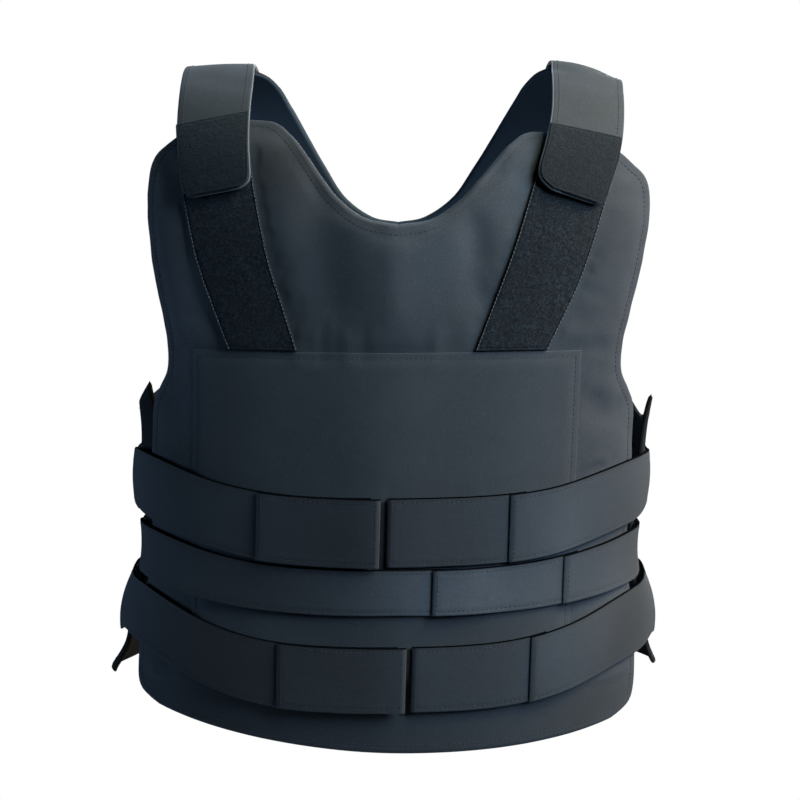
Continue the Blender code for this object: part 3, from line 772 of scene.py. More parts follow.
@dataclass
class Cloth:
    """One cloth: a pattern laid on the form with a wall, rounded rim, hem and relief."""

    name: str
    form: TorsoForm
    pattern: Pattern
    lift: Height
    wall: Height
    rim: float
    hem: Hem = PLAIN_EDGE
    relief: Height = field(default_factory=lambda: constant(0.0))
    inner_relief: Height = field(default_factory=lambda: constant(0.0))
    dark: Height = field(default_factory=lambda: constant(0.0))
    tone: Height = field(default_factory=lambda: constant(1.0))
    second: Height | None = None
    pile: Callable[[Array], Array] | None = None

    def surface(self, flat: Array, sink: float = 0.0) -> tuple[Array, Array]:
        """Points and normals of the outer face at flat points, away from the rim."""
        girth, drop = self.pattern.on_torso(flat)
        height = self.lift(girth, drop) + self.wall(girth, drop) + self.relief(girth, drop) - sink
        height = height + self.hem.at(self.pattern.edge_distance(flat))
        return self.form.lay(girth, drop, self.pattern.face, height)

    def build(self) -> Object:
        """Make the closed mesh.

        Away from the edge the two faces lie a wall apart. Within the rim each closes on a quarter ellipse,
        its part of the wall times sqrt(1 - (1 - distance / rim)^2), and they meet at the cut edge.

        Returns:
            The object, with a Weave UV map in metres and the attributes edge, inside, pile, dark and
            tone. Faces where second is above a half have the second material.
        """
        points = np.concatenate([grid.reshape(-1, 2) for grid in self.pattern.grids])
        quads = []
        first = 0
        for grid in self.pattern.grids:
            number = first + np.arange(grid[..., 0].size).reshape(grid.shape[:2])
            first += number.size
            if signed_area(perimeter(grid)) < 0:
                number = number[:, ::-1]
            quads.append(quads_of(number))
        _, kept, same = np.unique(np.round(points / WELD).astype(np.int64), axis=0,
                                  return_index=True, return_inverse=True)
        flat = points[kept]
        faces = same.reshape(-1)[np.concatenate(quads)]
        cut = self._cut_points(faces, len(flat))
        away = self.pattern.edge_distance(flat)
        away[cut] = 0.0
        girth, drop = self.pattern.on_torso(flat)
        wall = self.wall(girth, drop)
        base = self.lift(girth, drop)
        close = np.sqrt(1 - (1 - np.minimum(away / self.rim, 1.0)) ** 2)
        pile = self.pile(flat) * close if self.pile else np.zeros(len(flat))
        meet = wall * self.hem.meets
        relief = self.relief(girth, drop)
        outer_lift = base + meet + (wall - meet) * close + relief + (self.hem.at(away) + pile) * close
        inner_lift = base + meet * (1 - close) + self.inner_relief(girth, drop)
        outer_lift[cut] = (base + meet + relief)[cut]
        outer = self.form.lay(girth, drop, self.pattern.face, outer_lift)[0]
        inner = self.form.lay(girth, drop, self.pattern.face, inner_lift)[0]
        lined = np.where(cut, np.arange(len(flat)), 0)
        lined[~cut] = len(flat) + np.arange((~cut).sum())
        corners = np.concatenate([outer, inner[~cut]])
        faces = np.concatenate([faces, lined[faces][:, ::-1]])
        if self._volume(corners, faces) < 0:
            faces = faces[:, ::-1]
        places = np.concatenate([flat, flat[~cut]])
        dark = self.dark(girth, drop)
        one = np.ones(int((~cut).sum()))
        values = {name: np.concatenate(faces_of) for name, faces_of in {
            "edge": (away, away[~cut]),
            "inside": (np.where(cut, 0.5, 0.0), one),
            "pile": (pile / MM, 0 * one),
            "dark": (dark, dark[~cut]),
            "tone": (self.tone(girth, drop), one),
        }.items()}
        piece = mesh_object(self.name, corners, faces.tolist(), places, values)
        if self.second:
            share = self.second(*self.pattern.on_torso(places))[faces].mean(axis=1)
            piece.data.polygons.foreach_set("material_index", (share > 0.5).astype(np.int32))
        return piece

    @staticmethod
    def _cut_points(faces: Array, count: int) -> Array:
        """Which points lie on the cut edge: those of the mesh edges that only one face has."""
        sides = np.concatenate([faces[:, [0, 1]], faces[:, [1, 2]], faces[:, [2, 3]], faces[:, [3, 0]]])
        edges, uses = np.unique(np.sort(sides, axis=1), axis=0, return_counts=True)
        cut = np.zeros(count, bool)
        cut[edges[uses == 1].ravel()] = True
        return cut

    @staticmethod
    def _volume(corners: Array, faces: Array) -> float:
        """Signed volume: a sixth of the sum of the triple products of each face's triangles."""
        a, b, c, d = (corners[faces[:, k]] for k in range(4))
        return float((a * np.cross(b, c)).sum() + (a * np.cross(c, d)).sum()) / 6


def numbers_of(items: bpy.types.bpy_prop_collection, name: str, kind: type = np.float32,
               width: int = 1) -> Array:
    """A property of every item of a collection: one number each, or one row of the width each.

    Args:
        items: the collection, such as a mesh's vertices.
        name: the property's name.
        kind: the kind of number.
        width: how many numbers one item has.

    Returns:
        The numbers, in the order of the items.
    """
    found = np.empty(len(items) * width, kind)
    items.foreach_get(name, found)
    return found if width == 1 else found.reshape(-1, width)


def mesh_object(name: str, corners: Array, faces: list, places: Array | None = None,
                values: dict[str, Array] | None = None) -> Object:
    """Make a smooth mesh object at the origin.

    Args:
        name: the object's name.
        corners: its points.
        faces: point numbers of each face.
        places: flat place of each point, for the Weave UV map.
        values: point attributes by name.

    Returns:
        The linked object.
    """
    mesh = bpy.data.meshes.new(name)
    mesh.from_pydata(corners.tolist(), [], faces)
    mesh.shade_smooth()
    if places is not None:
        used = numbers_of(mesh.loops, "vertex_index", np.int32)
        layer = mesh.uv_layers.new(name="Weave")
        layer.uv.foreach_set("vector", places[used].astype(np.float32).ravel())
    for key, value in (values or {}).items():
        mesh.attributes.new(key, "FLOAT", "POINT").data.foreach_set("value", value.astype(np.float32))
    piece = bpy.data.objects.new(name, mesh)
    bpy.context.scene.collection.objects.link(piece)
    return piece


def along_path(path: Array, values: Array, places: Array) -> Array:
    """Values of an open path's points, read at distances along it."""
    run = run_along(path)
    return np.stack([np.interp(places, run, values[:, k]) for k in range(values.shape[1])], axis=1)


def closed(path: Array) -> Array:
    """A loop with its first point again at its end."""
    return np.concatenate([path, path[:1]])


def across_path(way: Array, normals: Array, sides: int) -> tuple[Array, Array]:
    """The direction off a path at each of its points, and a unit circle across it.

    The first is the part of the normal that is square to the way along the path.

    Args:
        way: unit direction along the path at each point.
        normals: normal of the cloth at each point.
        sides: how many points the circle has.

    Returns:
        The directions off the path, and the points of the circles about nought.
    """
    up = unit(normals - way * (normals * way).sum(axis=1, keepdims=True))
    side = np.cross(way, up)
    turn = 2 * math.pi * np.arange(sides)[None, :, None] / sides
    return up, np.cos(turn) * side[:, None] + np.sin(turn) * up[:, None]


@dataclass(frozen=True)
class Stitching:
    """A row of lock stitches. Each is a short thread that dips into the cloth at both ends."""

    pitch: float = 0.0036
    length: float = 0.0028
    radius: float = 0.00020
    dip: float = 0.00030

    sides = 5
    rings = ((-0.5, -1.0, 0.4), (-0.28, 0.45, 1.0), (0.28, 0.45, 1.0), (0.5, -1.0, 0.4))

    def build(self, name: str, paths: Sequence[tuple[Array, Array]]) -> Object:
        """Join the stitches of several paths in one mesh.

        A ring's centre is the stitch's middle plus its share of the length along the path, plus its share of
        the dip along the normal. Its points are the centre plus the radius on a circle across the path.

        Args:
            name: the object's name.
            paths: points and normals of each path.

        Returns:
            The linked object.
        """
        corners = []
        for points, normals in paths:
            length = float(run_along(points)[-1])
            count = max(1, int(length / self.pitch))
            middle = (np.arange(count) + 0.5) * length / count
            here = along_path(points, points, middle)
            ahead = along_path(points, points, np.minimum(middle + self.length / 2, length))
            behind = along_path(points, points, np.maximum(middle - self.length / 2, 0.0))
            way = unit(ahead - behind)
            up, circle = across_path(way, along_path(points, normals, middle), self.sides)
            rings = [here[:, None] + share * self.length * way[:, None] + lift * self.dip * up[:, None]
                     + thick * self.radius * circle for share, lift, thick in self.rings]
            corners.append(np.stack(rings, axis=1).reshape(-1, 3))
        corners = np.concatenate(corners)
        count = len(corners) // (self.sides * len(self.rings))
        number = np.arange(len(corners)).reshape(count, len(self.rings), self.sides)
        ahead = np.roll(number, -1, axis=2)
        sides = np.stack([number[:, :-1], number[:, 1:], ahead[:, 1:], ahead[:, :-1]], axis=-1).reshape(-1, 4)
        ends = np.concatenate([number[:, 0], number[:, -1, ::-1]])
        return mesh_object(name, corners, sides.tolist() + ends.tolist())


def tube(name: str, points: Array, normals: Array, radius: float,
         sides: int = 8) -> Object:
    """A closed cord along a loop: circles of the radius across the path, joined ring to ring.

    Args:
        name: the object's name.
        points: the loop's points, the last one not repeated.
        normals: a direction off the path at each point.
        radius: the cord's radius.
        sides: points on each circle.

    Returns:
        The linked object, whose Weave UV map is the distance along and round the cord.
    """
    way = unit(np.roll(points, -1, axis=0) - np.roll(points, 1, axis=0))
    circle = across_path(way, normals, sides)[1]
    corners = (points[:, None] + radius * circle).reshape(-1, 3)
    number = np.arange(len(corners)).reshape(len(points), sides)
    ahead = np.roll(number, -1, axis=0)
    faces = np.stack([number, ahead, np.roll(ahead, -1, axis=1), np.roll(number, -1, axis=1)], axis=-1)
    run = np.cumsum(np.linalg.norm(points - np.roll(points, 1, axis=0), axis=1))
    turned = radius * 2 * math.pi * np.arange(sides) / sides
    places = np.stack(np.broadcast_arrays(run[:, None], turned[None]), axis=-1).reshape(-1, 2)
    return mesh_object(name, corners, faces.reshape(-1, 4).tolist(), places)


def even_loop(loop: Array, step: float) -> Array:
    """A loop's points again, spaced evenly and averaged with their neighbours."""
    path = closed(loop)
    length = float(run_along(path)[-1])
    count = math.ceil(length / step)
    places = np.arange(count) * length / count
    even = along_path(path, path, places)
    return (np.roll(even, 1, axis=0) + 2 * even + np.roll(even, -1, axis=0)) / 4


# Finishes
NYLON_IOR = 1.53


def linear(hex_colour: str) -> tuple[float, float, float, float]:
    """An sRGB hex colour as linear RGBA."""
    parts = [int(hex_colour[k:k + 2], 16) / 255 for k in (1, 3, 5)]
    return (*(c / 12.92 if c <= 0.04045 else ((c + 0.055) / 1.055) ** 2.4 for c in parts), 1.0)


def add_node(tree: Tree, kind: str, inputs: dict | None = None, **settings: object) -> Node:
    """Add a node with its settings and inputs.

    Args:
        tree: the node tree.
        kind: the node's type.
        inputs: a value, or an output socket to link, for each input by name or number.
        settings: the node's own properties.

    Returns:
        The node.
    """
    node = tree.nodes.new(kind)
    for key, value in settings.items():
        setattr(node, key, value)
    for key, value in (inputs or {}).items():
        if isinstance(value, Socket):
            tree.links.new(value, node.inputs[key])
        else:
            node.inputs[key].default_value = value
    return node


def sum_of(tree: Tree, operation: str, first: object, second: object = 0.0,
           third: object = 0.5) -> Socket:
    """The result of one Math node."""
    return add_node(tree, "ShaderNodeMath", {0: first, 1: second, 2: third}, operation=operation).outputs[0]


def mix_colour(tree: Tree, share: object, first: object, second: object) -> Socket:
    """Two colours mixed by a share."""
    node = add_node(tree, "ShaderNodeMix", {0: share, 6: first, 7: second}, data_type="RGBA")
    return node.outputs[2]


def read_value(tree: Tree, name: str) -> Socket:
    """A point attribute of the piece."""
    return add_node(tree, "ShaderNodeAttribute", attribute_name=name).outputs["Fac"]


def spread(tree: Tree, value: object, low: float, high: float) -> Socket:
    """A value from low to high as a share from 0 to 1, held there and eased."""
    node = add_node(tree, "ShaderNodeMapRange", {0: value, 1: low, 2: high}, interpolation_type="SMOOTHSTEP")
    return node.outputs[0]


def noise(tree: Tree, scale: float, detail: float, distortion: float = 0.0) -> Socket:
    """Noise over the piece in metres: cells in a metre, finer layers, and how far it is drawn about.

    Args:
        tree: the material's node tree.
        scale: cells in a metre.
        detail: how many finer layers it has.
        distortion: how far its pattern is drawn about.

    Returns:
        The noise, from 0 to 1.
    """
    place = add_node(tree, "ShaderNodeTexCoord").outputs["Object"]
    return add_node(tree, "ShaderNodeTexNoise", {"Vector": place, "Scale": scale, "Detail": detail,
                                                 "Distortion": distortion}).outputs[0]


def bump(tree: Tree, height: object, strength: float, depth_mm: float,
         under: Socket | None = None) -> Socket:
    """The normal of a relief of a depth, laid over another relief if one is given.

    Args:
        tree: the material's node tree.
        height: height of the relief.
        strength: its share in the normal.
        depth_mm: its depth in mm.
        under: the normal of the relief that it lies on.

    Returns:
        The normal.
    """
    inputs = {"Height": height, "Strength": strength, "Distance": depth_mm * MM}
    if under:
        inputs["Normal"] = under
    return add_node(tree, "ShaderNodeBump", inputs).outputs[0]


def finish_shader(tree: Tree, shader: Node, colour: Socket, normal: Socket, **values: object) -> None:
    """Link the colour and the normal, and set the other inputs, whose names have _ for each space.

    Args:
        tree: the material's node tree.
        shader: its Principled shader.
        colour: the colour to link.
        normal: the normal to link.
        values: what each other input is set to.
    """
    tree.links.new(colour, shader.inputs["Base Color"])
    tree.links.new(normal, shader.inputs["Normal"])
    shader.inputs["IOR"].default_value = NYLON_IOR
    for name, value in values.items():
        shader.inputs[name.replace("_", " ")].default_value = value


def new_material(name: str) -> tuple[bpy.types.Material, Tree, Node]:
    """A material with its node tree and its Principled shader."""
    material = bpy.data.materials.new(name)
    material.use_nodes = True
    return material, material.node_tree, material.node_tree.nodes["Principled BSDF"]


@dataclass(frozen=True)
class WovenFinish:
    """Plain-woven nylon: two sets of threads that pass over and under each other."""

    name: str
    warp: str
    weft: str
    worn: str
    lining: str
    thread_mm: tuple[float, float]
    relief_mm: float
    roughness: float
    sheen: float
    # Colour painted over edge_mm at the rim: lighter on the front panel as a painted highlight, darker on the
    # back panel as painted shade
    edge: str = "#3c444c"
    edge_share: float = 0.15
    edge_mm: float = 0.8
    # Colour where the dark attribute is set: painted shade on the bands' top edges and in the slits, and the
    # dark end of a strap under its patch
    dark: str = "#06090c"
    glint: float = 0.5

    def _weave(self, tree: Tree) -> tuple[Socket, Socket]:
        """The weave's height and which thread is on top.

        With x and y counted in threads, the warp is on top where sin(pi x) sin(pi y) > 0. A thread's height
        is |sin| across it times a hump of 0.45 + 0.55 |sin| along it.
        """
        place = add_node(tree, "ShaderNodeUVMap", uv_map="Weave").outputs[0]
        place = add_node(tree, "ShaderNodeSeparateXYZ", {0: place})
        waves = []
        for axis, pitch in zip(("X", "Y"), self.thread_mm):
            turns = sum_of(tree, "MULTIPLY", place.outputs[axis], math.pi / (pitch * MM))
            waves.append(sum_of(tree, "SINE", turns))
        over = sum_of(tree, "GREATER_THAN", sum_of(tree, "MULTIPLY", *waves), 0.0)
        humps = [sum_of(tree, "ABSOLUTE", wave) for wave in waves]
        threads = []
        for across, along in (humps, humps[::-1]):
            hump = sum_of(tree, "MULTIPLY_ADD", along, 0.55, 0.45)
            threads.append(sum_of(tree, "MULTIPLY", across, hump))
        height = add_node(tree, "ShaderNodeMix", {0: over, 2: threads[1], 3: threads[0]}).outputs[0]
        return height, over

    def material(self) -> bpy.types.Material:
        """Colours by thread, lighter in random patches, scaled by the tone, which is painted light and shade,
        with the rim colour at the cut edge, which is a painted highlight on the front panel and painted shade
        on the back, the lining colour inside, which is painted light on the back panel, and the dark colour
        where the dark attribute is set, which is painted shade on the bands' top edges and in the slits.
        """
        material, tree, shader = new_material(self.name)
        height, over = self._weave(tree)
        colour = mix_colour(tree, over, linear(self.weft), linear(self.warp))
        for scale, detail, low, share in ((14.0, 3.0, 0.35, 0.30), (700.0, 2.0, 0.45, 0.35)):
            patches = spread(tree, noise(tree, scale, detail), low, 0.75)
            colour = mix_colour(tree, sum_of(tree, "MULTIPLY", patches, share), colour, linear(self.worn))
        # The rim's colour: a painted highlight on the front panel, painted shade on the back panel
        rim = spread(tree, read_value(tree, "edge"), self.edge_mm * MM, 0.0)
        colour = mix_colour(tree, sum_of(tree, "MULTIPLY", rim, self.edge_share), colour, linear(self.edge))
        # The tone attribute scales the colour by the spots' painted light and shade
        colour = add_node(tree, "ShaderNodeVectorMath", {0: colour, "Scale": read_value(tree, "tone")},
                          operation="SCALE").outputs[0]
        # The lining colour, painted light on the back panel, then the dark colour, painted shade on the
        # bands' top edges and in the slits and the strap's dark end under its patch
        for name, low, high, tint in (("inside", 0.55, 0.95, self.lining), ("dark", 0.2, 0.8, self.dark)):
            colour = mix_colour(tree, spread(tree, read_value(tree, name), low, high), colour, linear(tint))
        creases = bump(tree, noise(tree, 90.0, 4.0), 0.35, 0.6)
        finish_shader(tree, shader, colour, bump(tree, height, 0.8, self.relief_mm, creases),
                      Roughness=self.roughness, Specular_IOR_Level=self.glint, Sheen_Weight=self.sheen,
                      Sheen_Roughness=0.45, Sheen_Tint=linear("#c9d3dc"))
        return material


@dataclass(frozen=True)
class PileFinish:
    """Brushed loop pile: a dark ground with curled fibres that catch the light at their tips."""

    name: str
    ground: str
    tips: str
    edge: str
    tuft_mm: float
    fibre_mm: float
    sheen: float = 0.12

    def material(self) -> bpy.types.Material:
        """Colour from the height of the pile, whose high tufts are painted lighter as a painted highlight,
        and a fine mottle of fibres, with a velvet sheen.
        """
        material, tree, shader = new_material(self.name)
        fibres = noise(tree, 1 / (self.fibre_mm * MM), 3.0, 1.2)
        tufts = noise(tree, 1 / (self.tuft_mm * MM), 4.0, 2.0)
        lit = sum_of(tree, "MULTIPLY", spread(tree, fibres, 0.42, 0.72), spread(tree, tufts, 0.35, 0.65))
        # Painted highlight: the higher the pile, the lighter its colour
        high = spread(tree, read_value(tree, "pile"), 0.0, 0.45)
        lit = sum_of(tree, "MULTIPLY_ADD", high, 0.45, lit)
        colour = mix_colour(tree, lit, linear(self.ground), linear(self.tips))
        rim = spread(tree, read_value(tree, "edge"), 1.3 * MM, 0.5 * MM)
        colour = mix_colour(tree, rim, colour, linear(self.edge))
        finish_shader(tree, shader, colour, bump(tree, tufts, 0.7, 0.6, bump(tree, fibres, 0.9, 0.35)),
                      Roughness=0.95, Specular_IOR_Level=0.25, Sheen_Weight=self.sheen,
                      Sheen_Roughness=0.6, Sheen_Tint=linear("#9fb0bf"))
        return material


@dataclass(frozen=True)
class ThreadFinish:
    """Twisted nylon thread or cord: two plies that wind round each other."""

    name: str
    colour: str
    shadow: str
    ply_mm: float
    roughness: float

    def material(self) -> bpy.types.Material:
        """Light plies with painted shade in the grooves between them, from a wave that slants along the
        thread.
        """
        material, tree, shader = new_material(self.name)
        place = add_node(tree, "ShaderNodeTexCoord").outputs["Object"]
        plies = add_node(tree, "ShaderNodeTexWave", {"Vector": place, "Scale": 1 / (self.ply_mm * MM) / 3.2,
                                                     "Distortion": 1.5, "Detail": 2.0},
                         bands_direction="DIAGONAL").outputs["Fac"]
        colour = mix_colour(tree, plies, linear(self.shadow), linear(self.colour))
        finish_shader(tree, shader, colour, bump(tree, plies, 0.5, 0.12), Roughness=self.roughness,
                      Sheen_Weight=0.2)
        return material


# Plain-woven nylon is matt, with a faint glint at grazing angles. Its threads are taken as 0.45 mm wide and
# drawn a third wider, 0.6 mm, because a pixel of the render is 0.8 mm
# The front panel's rim is painted lighter, a painted highlight
PANEL_NYLON = WovenFinish("panel_plain_woven_nylon", "#2b3138", "#282e34", "#3c444c", "#222b33",
                          (0.6, 0.6), 0.09, 0.88, 0.06)
# The back panel's lining is painted lighter than its outer cloth, as painted light on its inner face, and its
# rim is painted dark for 3 mm, as painted shade
BACK_NYLON = replace(PANEL_NYLON, name="back_plain_woven_nylon", edge="#0b1015", edge_share=0.9, edge_mm=3.0,
                     lining="#2f3b45", sheen=0.0, glint=0.15)
OVERLAY_NYLON = replace(PANEL_NYLON, name="overlay_plain_woven_nylon", edge_share=0.0)
# Woven band has wider threads across than along; along its top edge shade is painted, dark and without glint
# or sheen
BAND_NYLON = WovenFinish("band_woven_nylon", "#282e35", "#242a31", "#363e46", "#1a2128",
                         (0.6, 0.9), 0.10, 0.86, 0.06, edge_share=0.0)
# Finish of a band's top edge, without glint or sheen, which carries its painted shade
EDGE_SHADE_NYLON = replace(BAND_NYLON, name="painted_edge_shade_nylon", sheen=0.0, glint=0.0)
STRAP_NYLON = WovenFinish("strap_woven_nylon", "#282e33", "#252a2f", "#3b4249", "#222b33",
                          (0.6, 0.6), 0.09, 0.86, 0.06, edge_share=0.0, dark="#141a20")
# Brushed loop looks black between its tufts, because light goes in and doesn't come out
LOOP_PILE = PileFinish("brushed_loop_pile", "#03060a", "#2f3b46", "#0e141a", 3.4, 0.7)
WING_PILE = PileFinish("brushed_wing_pile", "#060a0f", "#141c24", "#06090d", 2.6, 0.7, sheen=0.0)
PATCH_PILE = PileFinish("brushed_patch_pile", "#0b1116", "#242e37", "#131a20", 2.8, 0.7)
# Thread and cord are round and twisted, so their edges catch more light than flat cloth
SEWING_THREAD = ThreadFinish("bonded_nylon_thread", "#21272d", "#1a1f24", 0.5, 0.85)
EDGE_THREAD = ThreadFinish("edge_binding_thread", "#4c555d", "#333b42", 0.5, 0.7)
PIPING_CORD = ThreadFinish("piped_nylon_hem", "#565f67", "#434b52", 0.9, 0.75)

Finish = WovenFinish | PileFinish | ThreadFinish


class Wardrobe:
    """The finishes, each made into a material once."""

    def __init__(self) -> None:
        """Start with no material."""
        self.made: dict[str, bpy.types.Material] = {}

    def dress(self, piece: Object, finish: Finish) -> None:
        """Give a piece its finish."""
        if finish.name not in self.made:
            self.made[finish.name] = finish.material()
        piece.data.materials.append(self.made[finish.name])


@dataclass
class Workshop:
    """What every sub-assembly needs: the form, the finishes and the CAD frame."""

    form: TorsoForm
    wardrobe: Wardrobe

    def hang(self, piece: Object, slot: str, finish: Finish, node: str = "") -> Object:
        """Dress a piece, let it ride with the vest and, if it stands for a CAD node, hide that node."""
        self.wardrobe.dress(piece, finish)
        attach(piece, BODY)
        if node:
            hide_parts(node)
        LOG.info("%s: %d faces", piece.name, len(piece.data.polygons))
        return piece

    def sew(self, cloth: Cloth, insets: Sequence[float], slot: str, finish: ThreadFinish = SEWING_THREAD,
            stitching: Stitching = Stitching(), lines: Sequence[Array] = ()) -> Object:
        """Stitch a cloth along loops inside its cut edge and along other lines of flat points."""
        paths = [closed(cloth.pattern.inset(inset)) for inset in insets] + list(lines)
        laid = [cloth.surface(path, sink=-THREAD_LIFT) for path in paths]
        return self.hang(stitching.build(f"{cloth.name}_stitching", laid), slot, finish)


# Panels
LEAST_WEIGHT = 1e-6


@dataclass(frozen=True)
class Swell:
    """How a pack swells its cover: a cloth simulation of a coarse copy, held at its rim, on its inner face
    and wherever something is sewn or strapped on it."""

    spacing: Spacing = Spacing(0.0065, 0.0060)
    pressure: float = 4.0
    slack: float = 0.02
    frames: int = 20
    cap: float = 0.0022
    softness: float = 0.0045
    step: float = 0.004
    girth_reach: float = 0.340
    drop_reach: float = 0.640

    def simulate(self, pack: Object, held: Array) -> Array:
        """Blow the closed mesh up for some frames, with no gravity, and return how far each point moved."""
        rest = numbers_of(pack.data.vertices, "co", width=3).astype(float)
        group = pack.vertex_groups.new(name="held")
        group.add(np.flatnonzero(held).tolist(), 1.0, "REPLACE")
        cloth = pack.modifiers.new("swell", "CLOTH")
        cloth.settings.vertex_group_mass = group.name
        cloth.settings.use_pressure = True
        cloth.settings.uniform_pressure_force = self.pressure
        cloth.settings.shrink_min = -self.slack
        cloth.settings.effector_weights.gravity = 0.0
        cloth.point_cache.frame_end = self.frames
        scene = bpy.context.scene
        for frame in range(1, self.frames + 1):
            scene.frame_set(frame)
        found = pack.evaluated_get(bpy.context.evaluated_depsgraph_get())
        moved = numbers_of(found.data.vertices, "co", width=3).astype(float)
        pack.modifiers.remove(cloth)
        scene.frame_set(1)
        return moved - rest

    def of(self, cloth: Cloth, covered: Height) -> Height:
        """Height that the pack adds to a cover, from its coarse copy.

        The copy's moves along the form's normals are held under the cap by cap * tanh(move / cap), averaged
        on an even grid with Gaussian weights, and set to nought where the cover is held.

        Args:
            cloth: the coarse copy, not yet built.
            covered: one where something lies on the cover.

        Returns:
            The height by girth and drop.
        """
        pack = cloth.build()
        mesh = pack.data
        flat = np.empty((len(mesh.vertices), 2))
        used = numbers_of(mesh.loops, "vertex_index", np.int32)
        flat[used] = numbers_of(mesh.uv_layers["Weave"].uv, "vector", width=2)
        inside = numbers_of(mesh.attributes["inside"].data, "value")
        girth, drop = cloth.pattern.on_torso(flat)
        held = (inside > 0.25) | (covered(girth, drop) > 0.5)
        normal = cloth.form.lay(girth, drop, cloth.pattern.face, np.zeros(len(flat)))[1]
        out = (self.simulate(pack, held) * normal).sum(axis=1)
        LOG.info("%s: swells up to %.1f mm", pack.name, out[~held].max() / MM)
        bpy.data.objects.remove(pack)
        out = self.cap * np.tanh(out / self.cap)
        girths = np.arange(-self.girth_reach, self.girth_reach, self.step)
        drops = np.arange(0.0, self.drop_reach, self.step)
        outer = inside < 0.75
        row, column = (np.clip(np.round((place[outer] - axis[0]) / self.step).astype(int), 0, len(axis) - 1)
                       for place, axis in ((drop, drops), (girth, girths)))
        total = np.zeros((len(drops), len(girths), 2))
        np.add.at(total, (row, column), np.column_stack([out[outer], np.ones(outer.sum())]))
        down, along = (np.exp(-((axis[:, None] - axis) / self.softness) ** 2 / 2) for axis in (drops, girths))
        total = np.einsum("ij,jkc,kl->ilc", down, total, along, optimize=True)
        free = 1 - covered(*np.meshgrid(girths, drops))
        value = total[..., 0] / (total[..., 1] + LEAST_WEIGHT) * free
        chart = Chart((girths[0], drops[0]), self.step, value[..., None])
        return lambda girth, drop: chart.at(girth, drop)[..., 0]


